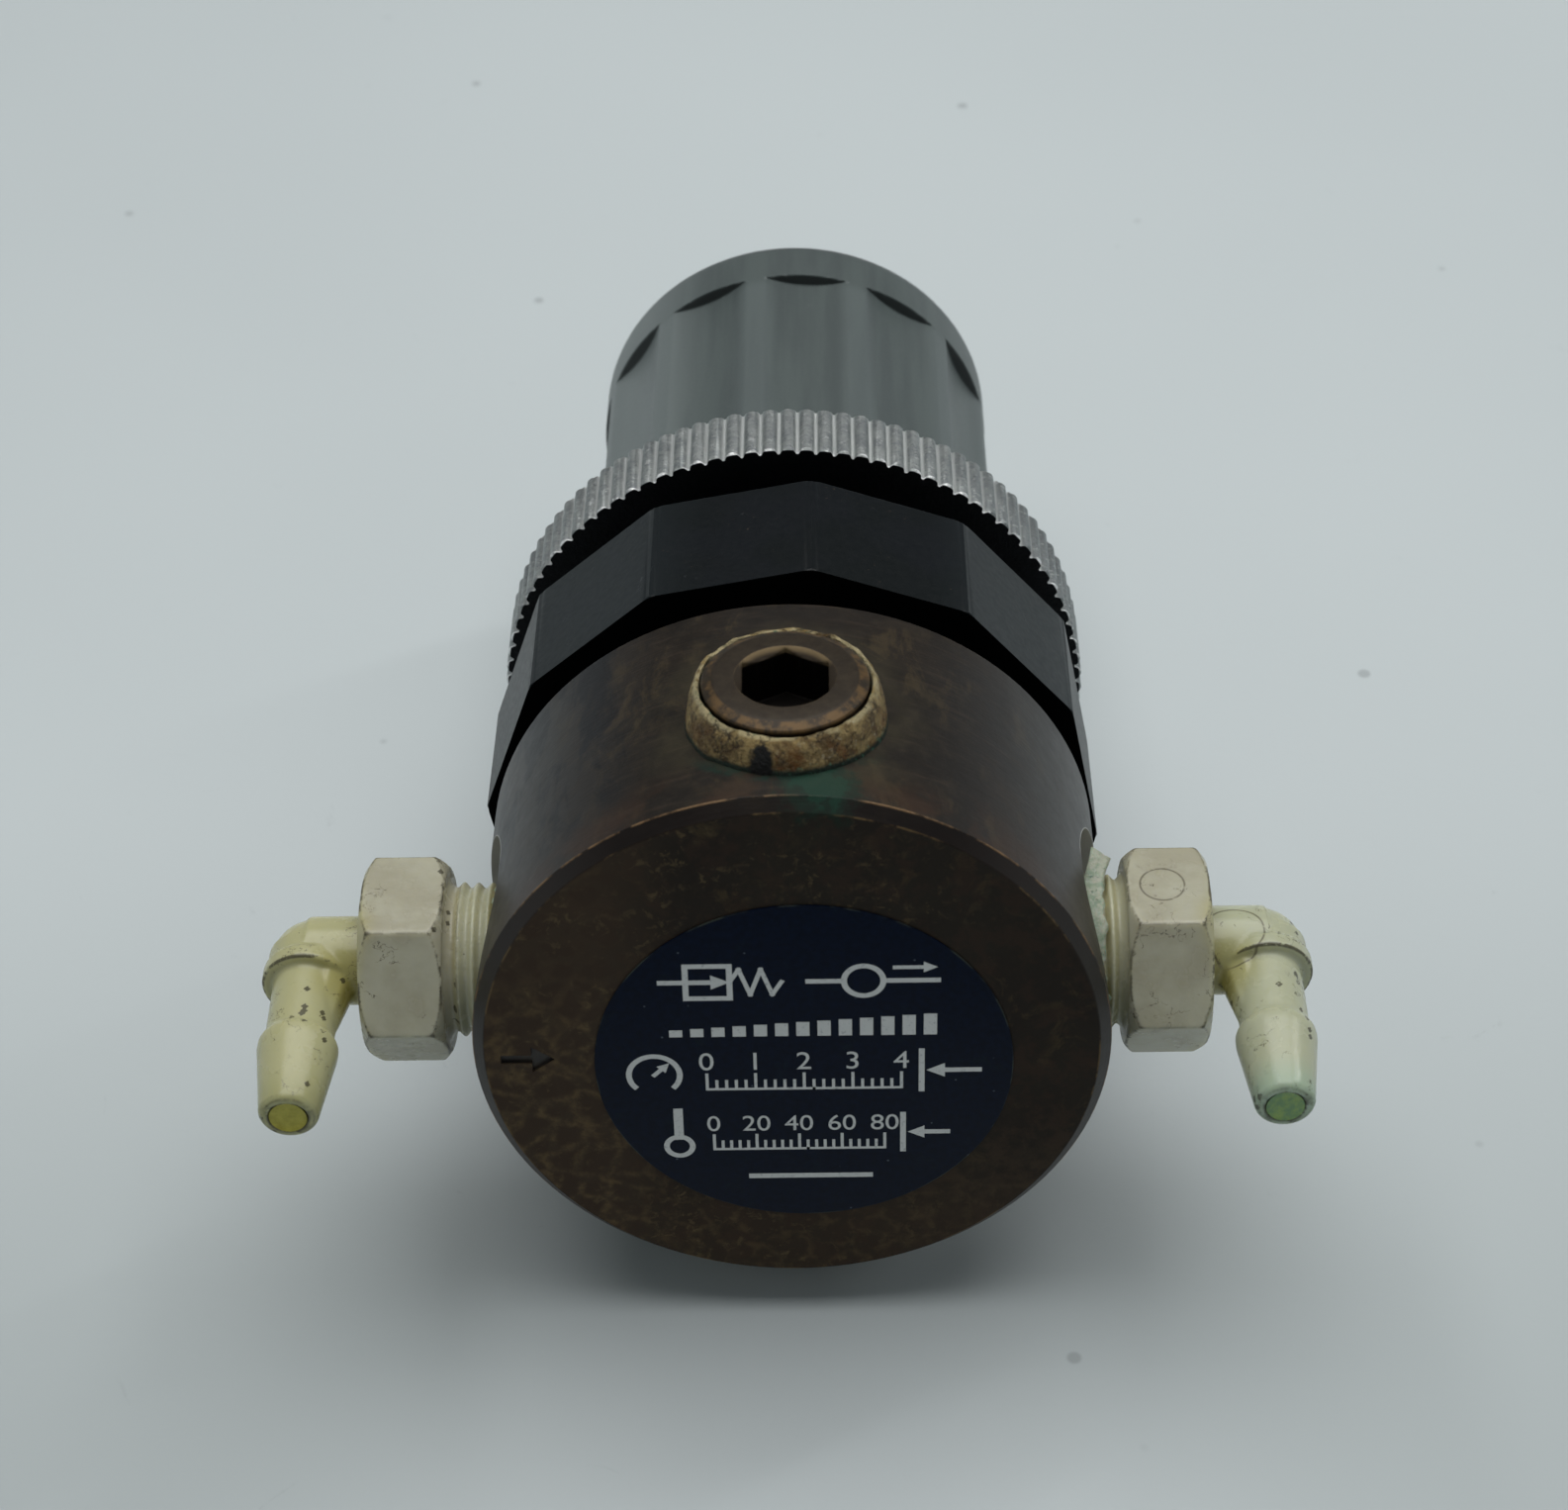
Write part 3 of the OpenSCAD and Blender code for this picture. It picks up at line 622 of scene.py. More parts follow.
def label_film():
    """Navy satin film with faint flecks and dust."""
    g = Graph("label_film")
    g.tone = g.mix(g.blots(0.3, 0.7, 0.5, 3), "#020b1d", "#031026")
    g.coat("#0c1c26", g.blots(0.56, 0.7, 2.2, 6, 0.7), 0.5)
    g.coat("#56606a", g.ramp(g.cells(1.7), 0.06, 0.025), 0.8)
    edge = g.ramp(g.far(x=LABEL_X, z=LABEL_Z), LABEL_R - 0.1, LABEL_R - 0.02)
    g.coat("#4b5148", edge, g.blots(0.45, 0.6, 3, 3), 0.6)
    g.set(Base_Color=g.tone, Roughness=0.4, Specular_IOR_Level=0.1)
    g.relief(g.noise(0.7, 3), 0.01)
    return g.material


def label_ink():
    """Worn off-white print."""
    g = Graph("label_ink")
    g.set(Base_Color=g.mix(g.blots(0.55, 0.72, 0.35, 4, 0.7), "#cdcfce", "#8b9096"), Roughness=0.5)
    return g.material


def plain_metal(name, tone_a, tone_b, rough):
    """Machined or drawn metal with faint turning marks."""
    g = Graph(name)
    fine = g.noise(0.3, 4, 0.6, g.stretch(1.0, 4.0, 1.0))
    g.set(Base_Color=g.mix(g.ramp(fine, 0.3, 0.7), tone_a, tone_b), Metallic=1.0, Roughness=rough)
    g.relief(fine, 0.01, bevel=0.08)
    return g.material


def black_rubber():
    """Dull black rubber."""
    g = Graph("black_rubber")
    g.set(Base_Color=g.mix(g.noise(0.6, 4), "#19191b", "#29292c"), Roughness=0.75)
    g.relief(g.noise(0.3, 3), 0.02)
    return g.material


def floor_surface():
    """Pale blue-grey work surface with faint clouds, a few specks and smudges, darkened towards the near
    corners as painted shade.
    """
    g = Graph("floor_surface")
    g.tone = g.mix(g.blots(0.3, 0.7, 90, 2), "#cad2d4", "#cdd5d7")
    specks = g.all(g.ramp(g.cells(9), 0.075, 0.04), g.blots(0.46, 0.56, 30, 2))
    g.coat("#8d9497", specks, 0.5)
    # Painted shade: darker towards the near left and right.
    corner = g.all(g.ramp(g.y, 55, -15), g.ramp(g.size(g.x), 10, 45))
    g.coat("#a9b2b3", corner, 0.6)
    smudge = g.blots(0.66, 0.74, 6, 6, 0.7, distortion=1.0)
    g.coat("#7d8487", smudge, 0.12)
    g.set(Base_Color=g.tone, Roughness=0.6)
    g.relief(g.noise(1.2, 4), 0.02)
    return g.material


# ---------------------------------------------------------------- mesh helpers


def add_object(name, data):
    piece = bpy.data.objects.new(name, data)
    bpy.context.scene.collection.objects.link(piece)
    return piece


def finish_mesh(name, points, faces, material, sharp=32.0):
    """Object from points in millimetres, smooth but for edges sharper than the given angle."""
    mesh = bpy.data.meshes.new(name)
    mesh.from_pydata([Vector(p) * MM for p in points], [], faces)
    mesh.validate()
    for polygon in mesh.polygons:
        polygon.use_smooth = True
    mesh.set_sharp_from_angle(angle=math.radians(sharp))
    mesh.materials.append(material)
    return add_object(name, mesh)


def skin(rows, loop):
    """Quads between rows of points that each close on themselves; loop joins the last row to the first."""
    n = len(rows[0])
    points = [p for row in rows for p in row]
    faces = []
    for i in range(len(rows) if loop else len(rows) - 1):
        k = (i + 1) % len(rows)
        for j in range(n):
            m = (j + 1) % n
            faces.append((i * n + j, i * n + m, k * n + m, k * n + j))
    return points, faces


def around(r, y, angle):
    """Point at a radius and an angle from +Z towards +X."""
    return (r * math.sin(angle), y, r * math.cos(angle))


def revolve(profile, n, shape, start=0.0):
    """Closed profile of (y, r, kind) turned round the valve axis; shape(angle, y, r, kind) may change r."""
    rows = []
    for y, r, kind in profile:
        row = []
        for j in range(n):
            angle = start - TAU * j / n
            row.append(around(shape(angle, y, r, kind) if kind else r, y, angle))
        rows.append(row)
    return skin(rows, loop=True)


def span(y0, y1, r, kind, step):
    """Rows of constant radius from y0 to y1."""
    count = max(1, round(abs(y1 - y0) / step))
    return [(y0 + (y1 - y0) * i / count, r, kind) for i in range(count + 1)]


def thread_wave(angle, y, pitch, depth, end):
    """How far a rounded helical thread's surface lies under its crest; it fades out at one end."""
    turn = (y / pitch + angle / TAU) % 1.0
    fade = min(1.0, abs(y - end) / pitch)
    return depth * abs(2 * turn - 1) ** 1.2 * fade


def polygon_reach(angle, sides, start, corner):
    """Distance to the side of a regular polygon with that corner radius."""
    step = TAU / sides
    off = (angle - start) % step - step / 2
    return corner * math.cos(step / 2) / math.cos(off)


# ---------------------------------------------------------------- pieces


def make_bonnet(material):
    """Neck, twelve-sided ring, panel thread and spring case, hollow inside."""
    ease = 0.25
    broken = 0.12
    profile = [(NECK_Y0, MOUTH_R, None), (NECK_Y0, NECK_R - 0.4, None)]
    profile += span(NECK_Y0 + 0.4, RING_Y0, NECK_R, "neck", 0.18)
    profile += [
        (RING_Y0, RING_R - 2.0, "ring"),
        (RING_Y0, RING_R - broken, "ring"),
        (RING_Y0 + broken, RING_R, "ring"),
        (RING_Y1 - broken, RING_R, "ring"),
        (RING_Y1, RING_R - broken, "ring"),
        (RING_Y1, RING_R - 2.0, "ring"),
        (RING_Y1, BARREL_R, None),
    ]
    profile += span(RING_Y1 + 0.05, BARREL_Y1 - 0.6, BARREL_R, "barrel", BARREL_PITCH / 8)
    profile += [
        (BARREL_Y1, BARREL_R - 0.7, None),
        (BARREL_Y1, TOWER_R, None),
        (TOWER_Y1 - ease, TOWER_R, None),
        (TOWER_Y1, TOWER_R - ease, None),
        (TOWER_Y1, SCREW_BORE_R, None),
        (CAVITY_Y1, SCREW_BORE_R, None),
        (CAVITY_Y1, CAVITY_R, "key"),
        (CAVITY_Y0, CAVITY_R, "key"),
        (CAVITY_Y0, MOUTH_R, None),
    ]

    def shape(angle, y, r, kind):
        if kind == "ring":
            return min(r, polygon_reach(angle, SIDES, CLOCK, RING_R))
        if kind == "key":
            return polygon_reach(angle, 6, math.radians(90), CAVITY_R)
        if kind == "neck":
            return r - thread_wave(angle, y, NECK_PITCH, 0.75, RING_Y0)
        return r - thread_wave(angle, y, BARREL_PITCH, 0.8, RING_Y1)

    points, faces = revolve(profile, 720, shape, CLOCK)
    return finish_mesh("bonnet_moulding", points, faces, material, 18.0)


def make_panel_nut(material):
    """Knurled ring: wide rounded teeth with narrow grooves and a fine front chamfer."""
    bore = BARREL_R + 0.05
    root = NUT_R - TOOTH_DEPTH
    profile = [
        (NUT_Y0 + 0.75, bore, None),
        (NUT_Y0, bore + 0.75, None),
        (NUT_Y0, root - 0.5, None),
        (NUT_Y0, NUT_R - 0.16, "teeth"),
        (NUT_Y0 + 0.14, NUT_R, "teeth"),
        (NUT_Y1 - 0.3, NUT_R, "teeth"),
        (NUT_Y1 - 0.05, NUT_R - 0.25, "teeth"),
        (NUT_Y1, root - 0.05, "teeth"),
        (NUT_Y1, root - 0.5, None),
        (NUT_Y1, bore + 0.5, None),
        (NUT_Y1 - 0.5, bore, None),
    ]

    def shape(angle, y, r, kind):
        phase = NUT_TEETH * angle / TAU
        wear = 0.12 * noise.noise(Vector((round(phase) * 0.7, 3.0, 0.0)))
        reach = abs(phase - round(phase)) / 0.44
        tooth = max(0.0, 1.0 - reach ** 2.6) * (1.0 + wear) - max(0.0, wear)
        return min(r, root + TOOTH_DEPTH * tooth)

    points, faces = revolve(profile, NUT_TEETH * 16, shape)
    return finish_mesh("panel_nut_knurled", points, faces, material, 30.0)


def make_knob(material):
    """Skirted grip with shallow hollow flutes that stop short of a smooth rounded end."""
    inner = TOWER_R + 0.25
    profile = [(KNOB_Y0 + 0.3, inner, None), (KNOB_Y0, inner + 0.3, None), (KNOB_Y0, KNOB_R - 0.9, "flute")]
    profile += [(KNOB_Y0 + 0.3, KNOB_R, "flute")]
    profile += span(KNOB_Y0 + 1.0, FLUTE_END - 0.5, KNOB_R, "flute", 3.0)
    profile += span(FLUTE_END - 0.15, FLUTE_END + 0.01, KNOB_R, "flute", 0.04)
    steps = 12
    for i in range(steps + 1):
        turn = math.radians(90) * i / steps
        profile.append((
            KNOB_Y1 - KNOB_ROUND + KNOB_ROUND * math.sin(turn),
            KNOB_R - KNOB_ROUND + KNOB_ROUND * math.cos(turn),
            None,
        ))
    profile += [(KNOB_Y1, r, None) for r in (9.0, 5.0, 0.01)]
    profile += [(KNOB_Y1 - 1.9, 0.01, None), (KNOB_Y1 - 1.9, inner, None)]
    centre = KNOB_R + FLUTE_R - FLUTE_DEPTH

    def shape(angle, y, r, kind):
        step = TAU / SIDES
        off = (angle - CLOCK + step / 2) % step - step / 2
        side = centre * math.sin(off)
        if abs(side) >= FLUTE_R:
            return r
        flute = centre * math.cos(off) - math.sqrt(FLUTE_R ** 2 - side ** 2)
        close = min(1.0, max(0.0, (y - FLUTE_END + 0.15) / 0.15))
        flute += FLUTE_DEPTH * 1.4 * close
        soft = 0.05
        gap = r - flute
        return r - 0.5 * (gap + math.sqrt(gap * gap + soft * soft)) if gap > -1 else r

    points, faces = revolve(profile, 720, shape, CLOCK)
    return finish_mesh("knob_grip", points, faces, material, 45.0)


def make_label(material):
    """Thin round film with a soft edge."""
    n = 180
    centre = 0.01
    profile = [
        (LABEL_T, LABEL_R - 0.01),
        (0.03, LABEL_R),
        (0.0, LABEL_R - 0.06),
        (0.0, centre),
        (LABEL_T, centre),
    ]
    rows = []
    for y, r in profile:
        ring = [around(r, y, TAU * j / n) for j in range(n)]
        rows.append([(LABEL_X + x, y, LABEL_Z + z) for x, y, z in ring])
    points, faces = skin(rows, loop=True)
    return finish_mesh("label_disc", points, faces, material)


class Print:
    """Flat ink shapes on the label: u runs right and v up from the label's centre, in millimetres."""

    def __init__(self):
        self.points = []
        self.faces = []

    def fill(self, outline):
        first = len(self.points)
        proud = -0.012 - 0.0004 * (len(self.faces) % 12)
        self.points += [(LABEL_X + u, proud, LABEL_Z + v) for u, v in outline]
        self.faces.append(tuple(range(first, first + len(outline))))

    def line(self, path, width):
        for (u0, v0), (u1, v1) in zip(path, path[1:]):
            run = math.hypot(u1 - u0, v1 - v0)
            eu, ev = (u1 - u0) / run * width / 2, (v1 - v0) / run * width / 2
            self.fill([
                (u0 - eu - ev, v0 - ev + eu),
                (u0 - eu + ev, v0 - ev - eu),
                (u1 + eu + ev, v1 + ev - eu),
                (u1 + eu - ev, v1 + ev + eu),
            ])

    def arc(self, u, v, radius, width, a0=0.0, a1=360.0, steps=40):
        for i in range(steps):
            b0 = math.radians(a0 + (a1 - a0) * i / steps)
            b1 = math.radians(a0 + (a1 - a0) * (i + 1) / steps)
            inner, outer = radius - width / 2, radius + width / 2
            self.fill([
                (u + inner * math.cos(b0), v + inner * math.sin(b0)),
                (u + outer * math.cos(b0), v + outer * math.sin(b0)),
                (u + outer * math.cos(b1), v + outer * math.sin(b1)),
                (u + inner * math.cos(b1), v + inner * math.sin(b1)),
            ])

    def arrow(self, u0, v0, u1, v1, width, head):
        run = math.hypot(u1 - u0, v1 - v0)
        eu, ev = (u1 - u0) / run, (v1 - v0) / run
        self.line([(u0, v0), (u1 - eu * head, v1 - ev * head)], width)
        base_u, base_v = u1 - eu * head, v1 - ev * head
        self.fill([(u1, v1), (base_u - ev * head * 0.5, base_v + eu * head * 0.5),
                   (base_u + ev * head * 0.5, base_v - eu * head * 0.5)])

    def scale(self, u0, u1, v, ticks, tall, width):
        """A ruled scale with every fifth tick longer."""
        self.line([(u0, v), (u1, v)], width)
        for i in range(ticks + 1):
            u = u0 + (u1 - u0) * i / ticks
            self.line([(u, v), (u, v + (tall if i % 5 == 0 else tall * 0.55))], width)

    def digits(self, text, u, v, height, material):
        """Numerals of a scale, centred on u."""
        curve = bpy.data.curves.new("label_number_" + text.replace(" ", "_"), "FONT")
        curve.body = text
        curve.align_x = "CENTER"
        curve.size = height * 1.38 * MM
        curve.extrude = 0.004 * MM
        curve.materials.append(material)
        number = add_object(f"label_number_{text}_{u:.0f}_{v:.0f}".replace("-", "m"), curve)
        number.location = Vector((LABEL_X + u, -0.01, LABEL_Z + v)) * MM
        number.rotation_euler.x = math.radians(90)
        mount(number, "label_film", HOUSING)

    def piece(self, name, material):
        return finish_mesh(name, self.points, self.faces, material)


def draw_label(ink):
    """Generic panel of symbols: a relief valve, setting steps, a pressure scale and a temperature scale."""
    art = Print()
    bold = 0.38
    # relief valve symbol: a box crossed by an arrow, its spring, and the line to a tank
    art.line([(-7.4, 5.9), (-4.6, 5.9), (-4.6, 8.6), (-7.4, 8.6), (-7.4, 5.9)], bold)
    art.arrow(-7.4, 7.25, -4.6, 7.25, bold, 1.2)
    art.line([(-9.0, 7.25), (-7.4, 7.25)], bold)
    art.line([(-4.6, 7.25), (-4.0, 8.3), (-3.3, 6.2), (-2.6, 8.3), (-1.9, 6.2), (-1.3, 7.25)], 0.3)
    art.line([(0.4, 7.25), (2.6, 7.25)], bold)
    art.arc(3.9, 7.25, 1.25, bold)
    art.line([(5.2, 7.25), (8.6, 7.25)], bold)
    art.arrow(5.9, 8.35, 8.6, 8.35, 0.3, 0.9)
    # rising setting steps
    for i in range(13):
        u = -8.6 + i * 1.36
        art.fill([(u, 2.6), (u + 0.85, 2.6), (u + 0.85, 3.2 + 0.1 * i), (u, 3.2 + 0.1 * i)])
    # pressure dial, scale and upper limit
    art.arc(-9.7, -0.7, 1.65, bold, -45, 225)
    art.arrow(-9.7, -0.7, -8.7, 0.35, 0.3, 0.8)
    art.scale(-6.3, 6.3, -2.0, 20, 1.3, 0.2)
    art.line([(7.6, -2.2), (7.6, 1.2)], bold)
    art.arrow(11.3, -0.5, 7.9, -0.5, bold, 1.2)
    # thermometer, scale and upper limit
    art.arc(-8.3, -7.1, 0.85, bold)
    art.line([(-8.3, -6.2), (-8.3, -4.0)], 0.62)
    art.scale(-6.0, 5.2, -7.4, 20, 1.25, 0.2)
    art.line([(6.4, -7.6), (6.4, -4.4)], bold)
    art.arrow(9.3, -6.0, 6.7, -6.0, bold, 1.1)
    # closing rule
    for i in range(9):
        art.line([(-3.6 + i * 0.9, -9.9), (-3.0 + i * 0.9, -9.9)], 0.42)
    for i in range(5):
        art.digits(str(i), -6.3 + i * 12.6 / 4, -0.3, 1.55, ink)
        art.digits(str(i * 20), -6.0 + i * 11.2 / 4, -5.75, 1.4, ink)
    return art.piece("label_print", ink)


def make_sealant(name, side, material):
    """Uneven roll of dried paste round a plug, higher behind than in front."""
    n = 200
    outline = [(5.3, 0.0, -0.9), (5.34, 0.85, -0.35), (5.48, 1.0, -0.08), (5.72, 1.0, 0.0), (6.05, 0.9, 0.0),
               (6.4, 0.7, 0.0), (6.7, 0.42, 0.0), (6.92, 0.14, 0.0), (7.02, 0.0, -0.1), (6.6, 0.0, -0.7)]
    rows = []
    for reach, climb, drop in outline:
        row = []
        for j in range(n):
            angle = TAU * j / n
            spot = Vector((math.sin(angle) * 2.2, math.cos(angle) * 2.2, reach * 0.8 + side * 7))
            wobble = noise.noise(spot * 1.1) * 0.18 + noise.noise(spot * 3.1) * 0.1
            r = reach + (wobble if reach > 5.5 else 0.0)
            r = min(r, 5.5) + max(0.0, r - 5.5) * (1.0 - 0.4 * abs(math.sin(angle)))
            x, y = r * math.sin(angle), PORT_Y + r * math.cos(angle)
            skin_z = math.sqrt(max(BODY_R ** 2 - x * x, 0.0))
            lip = 0.05 * math.cos(angle) + 0.16 * noise.noise(spot * 1.7) + 0.1 * noise.noise(spot * 4.3)
            top_z = PLUG_TOP - 0.52 + lip
            z = skin_z * (1 - climb) + top_z * climb + drop
            row.append((x, y, side * z))
        rows.append(row)
    points, faces = skin(rows, loop=True)
    if side < 0:
        faces = [face[::-1] for face in faces]
    return finish_mesh(name, points, faces, material, 60.0)


def make_plug(name, side, material):
    """Pipe plug: bevelled head, countersunk hexagon socket and tapered thread."""
    n = 144
    sink = 0.5
    corner = SOCKET_AF / 2 / math.cos(math.radians(30))
    foot = plug_low[2]
    floor_z = PLUG_TOP - 3.6
    profile = [(0.01, floor_z, None), (0.0, floor_z, "socket")]
    profile += [(SINK_R - sink * i / 6, PLUG_TOP - sink * i / 6, "socket") for i in range(6, -1, -1)]
    profile += [(PLUG_R - 0.82, PLUG_TOP, None), (PLUG_R - 0.7, PLUG_TOP - 0.03, None)]
    profile += [(PLUG_R - 0.08, PLUG_TOP - 0.34, None), (PLUG_R, PLUG_TOP - 0.45, None)]
    turns = 40
    for i in range(turns + 1):
        z = PLUG_TOP - 2.4 - (PLUG_TOP - 2.4 - foot) * i / turns
        profile.append((PLUG_R - (PLUG_TOP - z) / 32, z, "thread"))
    profile.append((0.01, foot, None))
    rows = []
    for r, z, kind in profile:
        row = []
        for j in range(n):
            angle = TAU * j / n
            reach = r
            if kind == "socket":
                reach = max(r, polygon_reach(angle, 6, 0.0, corner))
            if kind == "thread":
                reach = r - thread_wave(-side * angle, z, PIPE_PITCH, 0.6, PLUG_TOP - 2.4)
            row.append((reach * math.sin(angle), PORT_Y + reach * math.cos(angle), side * z))
        rows.append(row)
    points, faces = skin(rows, loop=False)
    if side > 0:
        faces = [face[::-1] for face in faces]
    return finish_mesh(name, points, faces, material, 25.0)


def make_elbow(name, side, arm_x, material):
    """Moulded fitting: the CAD elbow with a web in its inner corner, every edge softened."""
    mesh = nodes[name].data.copy()
    mesh.materials.clear()
    mesh.materials.append(material)
    work = bmesh.new()
    work.from_mesh(mesh)
    web = (
        (1.0, ((3.4, 0.0), (3.1, 1.4), (1.2, 2.2), (0.0, 0.0))),
        (3.0, ((3.1, 0.0), (2.85, 0.9), (1.6, 1.9))),
        (4.8, ((2.6, 0.0), (2.4, 0.8), (1.5, 1.6))),
        (7.1, ((2.12, 0.0), (1.8, 0.9), (0.0, 0.0))),
    )
    corners = []
    for along, outline in web:
        for toward, half in outline:
            base = arm_point(arm_x - side * toward, along)
            corners += [work.verts.new((base + Vector((0, 0, z))) * MM) for z in sorted({half, -half})]
    bmesh.ops.convex_hull(work, input=corners)
    work.to_mesh(mesh)
    work.free()
    piece = add_object(name + "_moulding", mesh)
    remesh = piece.modifiers.new("skin", "REMESH")
    remesh.mode = "VOXEL"
    remesh.voxel_size = VOXEL * MM
    remesh.use_smooth_shade = True
    smooth = piece.modifiers.new("soften", "SMOOTH")
    smooth.factor = 0.5
    smooth.iterations = 8
    return piece


def rod(rows):
    """Skin over rows of points, closed at both ends."""
    points, faces = skin(rows, loop=False)
    n = len(rows[0])
    faces.append(tuple(range(n))[::-1])
    faces.append(tuple(range(len(points) - n, len(points))))
    return points, faces


def make_spring(name, first, last, material):
    """Round-wire coils of the range spring, counted from the diaphragm plate."""
    steps, sides = 32, 12
    rows = []
    for i in range(first * steps, last * steps + 1):
        angle = TAU * i / steps
        y = SPRING_Y0 + (SPRING_Y1 - SPRING_Y0) * i / (COILS * steps)
        row = []
        for j in range(sides):
            turn = TAU * j / sides
            r = SPRING_R + WIRE_R * math.cos(turn)
            row.append(around(r, y + WIRE_R * math.sin(turn), angle))
        rows.append(row)
    return finish_mesh(name, *rod(rows), material, 50.0)


def make_diaphragm(name, angle, material):
    """One sector of the rubber diaphragm: flat middle, thin roll and clamped rim."""
    hole = 1.6
    seat = SHEET_Y1 - SHEET_T
    arc = [math.pi * i / 10 for i in range(11)]
    profile = [(hole, SHEET_Y1)]
    profile += [(ROLL_R - 0.75 * math.cos(a), SHEET_Y1 - 0.75 * math.sin(a)) for a in arc]
    profile += [(SHEET_R, SHEET_Y1), (SHEET_R, seat)]
    profile += [(ROLL_R + 0.95 * math.cos(a), seat - 0.95 * math.sin(a)) for a in arc]
    profile.append((hole, seat))
    rows = []
    for i in range(7):
        turn = angle + (i / 6 - 0.5) * TAU / SECTORS
        rows.append([around(r, y, turn) for r, y in profile])
    return finish_mesh(name, *rod(rows), material, 50.0)


def make_tape(name, side, x0, x1, start, sweep, flap, film):
    """Ragged band of tape round an exposed pipe thread, with one torn end that stands up."""
    along = 56
    across = 6
    points = []
    for i in range(along + 1):
        turn = math.radians(start + sweep * i / along)
        ragged0 = 0.25 * noise.noise(Vector((i * 0.35, side * 3.0, 0.0)))
        ragged1 = 0.55 * noise.noise(Vector((i * 0.3, side * 5.0, 2.0)))
        lift = max(0.0, 1 - i / 6.0) ** 1.5 * flap
        for j in range(across + 1):
            t = j / across
            x = x0 + ragged0 + (x1 - x0 + ragged1) * t + 0.35 * lift
            r = PLUG_R + 0.02 + 0.07 * abs(math.sin(x * math.pi / PIPE_PITCH)) + lift * (1 - 0.45 * t)
            r += 0.05 * noise.noise(Vector((i * 0.5, j * 0.9, side)))
            points.append((side * x, PORT_Y + r * math.sin(turn), r * math.cos(turn)))
    wide = across + 1
    faces = [
        (i * wide + j, i * wide + j + 1, (i + 1) * wide + j + 1, (i + 1) * wide + j)
        for i in range(along) for j in range(across)
    ]
    piece = finish_mesh(name, points, faces, film, 60.0)
    thick = piece.modifiers.new("film", "SOLIDIFY")
    thick.thickness = 0.09 * MM
    thick.offset = 1.0
    return piece


def arm_point(arm_x, distance):
    """Point on a barb's axis at a distance from the elbow's centre."""
    return Vector((arm_x, PORT_Y - distance * math.cos(ARM_TILT), -distance * math.sin(ARM_TILT)))


def make_bore_film(name, arm_x, material):
    """Dull film that closes a barb's bore a little way in."""
    centre = arm_point(arm_x, ARM_LEN - 0.16)
    n = 32
    rows = []
    for r, dip in ((1.22, 0.15), (1.1, 0.06), (0.8, 0.02), (0.4, 0.0), (0.02, 0.0)):
        row = []
        for j in range(n):
            turn = TAU * j / n
            row.append((
                centre.x + r * math.cos(turn),
                centre.y - dip * math.cos(ARM_TILT),
                centre.z + r * math.sin(turn),
            ))
        rows.append(row)
    points, faces = skin(rows, loop=False)
    return finish_mesh(name, points, faces, material)


# ---------------------------------------------------------------- assembly

HOUSING = "valve_housing"


def mount(piece, material_slot, body, *stands_for):
    """Hides the CAD nodes a piece stands for and hangs the piece on the body it rides on, if it has one;
    material_slot is not used.
    """
    if stands_for:
        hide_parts(*stands_for)
    if body:
        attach(piece, body)


def add_spring(material):
    """The range spring in two pieces: the coils near the plate and the rest up to the adjusting nut."""
    plate_end = make_spring("range_spring_plate_end", 0, PLATE_COILS, material)
    nut_end = make_spring("range_spring_nut_end", PLATE_COILS, COILS, material)
    for coils in (plate_end, nut_end):
        mount(coils, "spring_steel", None, "range_spring")
    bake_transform(plate_end)
    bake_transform(nut_end)


def add_diaphragm(material):
    """The rubber diaphragm built as sectors round the axis, from the middle to the clamped rim."""
    for i in range(SECTORS):
        angle = TAU * i / SECTORS
        sector = make_diaphragm(f"diaphragm_sector_{i + 1}", angle, material)
        mount(sector, "black_rubber", None, "diaphragm")
        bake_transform(sector)


mount(make_bonnet(black_bonnet()), "bonnet_black", HOUSING, "bonnet")
mount(make_panel_nut(turned_aluminium()), "nut_aluminium", "panel_nut", "panel_nut")
mount(make_knob(knob_plastic()), "knob_grey", "adjuster", "knob")
mount(make_label(label_film()), "label_film", HOUSING, "face_label")
mount(draw_label(label_ink()), "label_film", HOUSING)

sealant = dried_sealant()
plug_metal = plug_brass()
for end, side in (("top", 1), ("bottom", -1)):
    collar = make_sealant(end + "_plug_sealant_collar", side, sealant)
    mount(collar, "sealant_tan", HOUSING, end + "_plug_sealant")
    plug = make_plug(end + "_gauge_plug_turned", side, plug_metal)
    mount(plug, "plug_brass", HOUSING, end + "_gauge_plug")

tape = tape_film()
outlet_tape = make_tape("outlet_tape_band", 1, x0=19.2, x1=20.5, start=24, sweep=-215, flap=1.9, film=tape)
inlet_tape = make_tape("inlet_tape_band", -1, x0=19.1, x1=19.45, start=10, sweep=-180, flap=0.1, film=tape)
mount(outlet_tape, "thread_tape", HOUSING, "outlet_thread_tape")
mount(inlet_tape, "thread_tape", HOUSING, "inlet_thread_tape")

nylon_in = natural_nylon("natural_nylon_inlet", -1, INLET_ARM_X, "#b5b38a", "#a5a478")
nylon_out = natural_nylon("natural_nylon_outlet", 1, OUTLET_ARM_X, "#b4b79c", "#9fb39e")
film_in = residue("inlet_residue", "#b5ad45", "#a19836")
film_out = residue("outlet_residue", "#8fab62", "#6f9269")
for end, side, arm_x, nylon, film in (
    ("inlet", -1, INLET_ARM_X, nylon_in, film_in),
    ("outlet", 1, OUTLET_ARM_X, nylon_out, film_out),
):
    mount(make_elbow(end + "_elbow", side, arm_x, nylon), "natural_nylon", HOUSING, end + "_elbow")
    mount(make_bore_film(end + "_bore_film", arm_x, film), "natural_nylon", HOUSING)

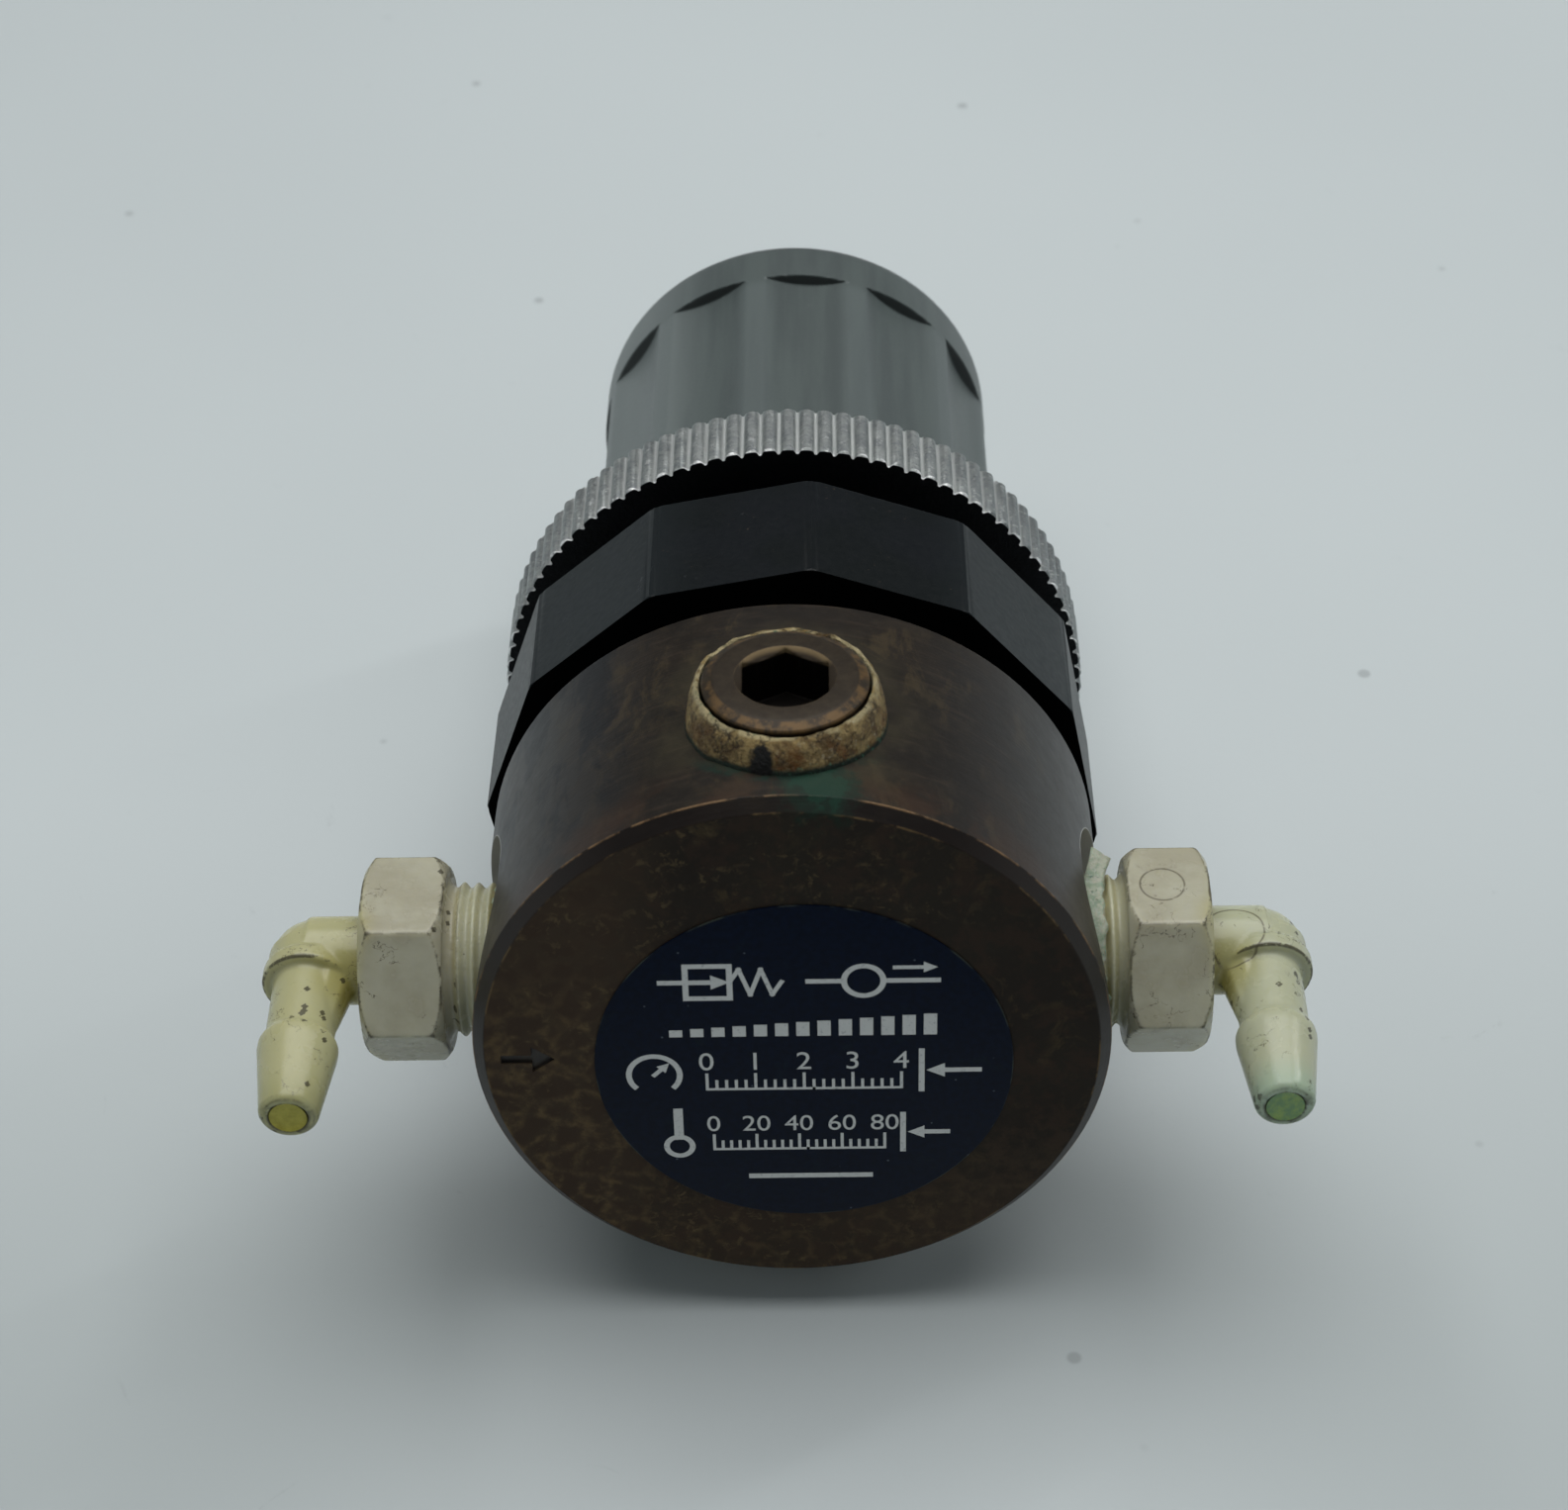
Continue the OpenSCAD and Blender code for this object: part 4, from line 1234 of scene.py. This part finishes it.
brass = tarnished_brass()
rubber = black_rubber()
bright_brass = plain_metal("bright_brass", "#b8965a", "#cbab70", 0.3)
zinc_steel = plain_metal("zinc_steel", "#9ba0a4", "#b4b8ba", 0.32)
spring_wire = plain_metal("spring_wire", "#6d7276", "#8a8f93", 0.28)
plate_metal = plain_metal("plate_aluminium", "#b7babd", "#c8cacc", 0.34)
nozzle_metal = plain_metal("nozzle_steel", "#a9a79f", "#bdbab0", 0.25)
add_spring(spring_wire)
add_diaphragm(rubber)
looks = {
    "valve_body": brass,
    "seat_nozzle": nozzle_metal,
    "nozzle_o_ring": rubber,
    "valve_disc": bright_brass,
    "valve_pad": rubber,
    "diaphragm_plate": plate_metal,
    "disc_lock_nut": zinc_steel,
    "slip_ring": bright_brass,
    "adjusting_nut": bright_brass,
    "adjusting_screw": zinc_steel,
    "thrust_washer": zinc_steel,
    "screw_circlip": spring_wire,
}
for name, material in looks.items():
    nodes[name].data.materials.clear()
    nodes[name].data.materials.append(material)

# ---------------------------------------------------------------- floor, light and camera


def add_floor():
    """Work surface that touches the lower plug and the panel nut."""
    rest_y = PORT_Y + PLUG_R
    rest_z = -PLUG_TOP
    rise = (-NUT_R - rest_z) / (NUT_Y1 - rest_y)
    half = 900.0
    corners = ((-half, -half), (half, -half), (half, half), (-half, half))
    points = [(x, y, rest_z + (y - rest_y) * rise) for x, y in corners]
    floor = finish_mesh("floor", points, [(0, 1, 2, 3)], floor_surface())


def add_light(name, place, aim, size, power, tone=(1.0, 1.0, 1.0)):
    light = bpy.data.lights.new(name, "AREA")
    light.shape = "RECTANGLE"
    light.size, light.size_y = size[0] * MM, size[1] * MM
    light.energy = power
    light.color = tone
    lamp = add_object(name, light)
    lamp.location = Vector(place) * MM
    lamp.rotation_euler = (Vector(aim) - Vector(place)).to_track_quat("-Z", "Y").to_euler()


def add_world():
    """Dim room behind, brighter towards the viewer's side and low round the horizon."""
    world = bpy.data.worlds.new("studio")
    bpy.context.scene.world = world
    world.use_nodes = True
    g = Nodes(world.node_tree, "Generated", 1.0)
    horizon = g.all(g.ramp(g.z, 0.4, 0.0), 0.25)
    front = g.all(g.ramp(g.y, 0.1, -0.9), 0.06)
    flanks = g.all(g.ramp(g.size(g.x), 0.45, 0.95), 0.16)
    background = world.node_tree.nodes["Background"]
    g.put(background.inputs["Strength"], g.plus(g.plus(horizon, front), g.plus(flanks, 0.07)))
    background.inputs["Color"].default_value = (0.9, 0.98, 1.0, 1.0)


def add_camera():
    """Eye above and in front of the label end, looking down the valve."""
    place = Vector((3.51, -160.83, 149.14)) * MM
    turn, down, lean = (math.radians(a) for a in (-1.246, 37.787, -1.513))
    ahead = Vector((math.sin(turn) * math.cos(down), math.cos(turn) * math.cos(down), -math.sin(down)))
    right = ahead.cross(Vector((0, 0, 1))).normalized()
    up = right.cross(ahead)
    right, up = right * math.cos(lean) + up * math.sin(lean), up * math.cos(lean) - right * math.sin(lean)
    camera = bpy.data.cameras.new("camera")
    camera.sensor_width = 36.0
    camera.lens = 77.9
    camera.clip_start = 0.005
    camera.dof.use_dof = True
    camera.dof.focus_distance = 0.23
    camera.dof.aperture_fstop = 70.0
    eye = add_object("camera", camera)
    eye.matrix_world = Matrix.Translation(place) @ Matrix((right, up, -ahead)).transposed().to_4x4()
    bpy.context.scene.camera = eye


add_floor()
add_world()
add_light("overhead", (0, 80, 440), (0, 60, 0), (480, 460), 1.95, (1.0, 1.0, 0.99))
add_light("strip", (400, 246, 430), (30, 0, 0), (24, 320), 0.4)
add_camera()
bpy.context.scene.view_settings.view_transform = "Standard"
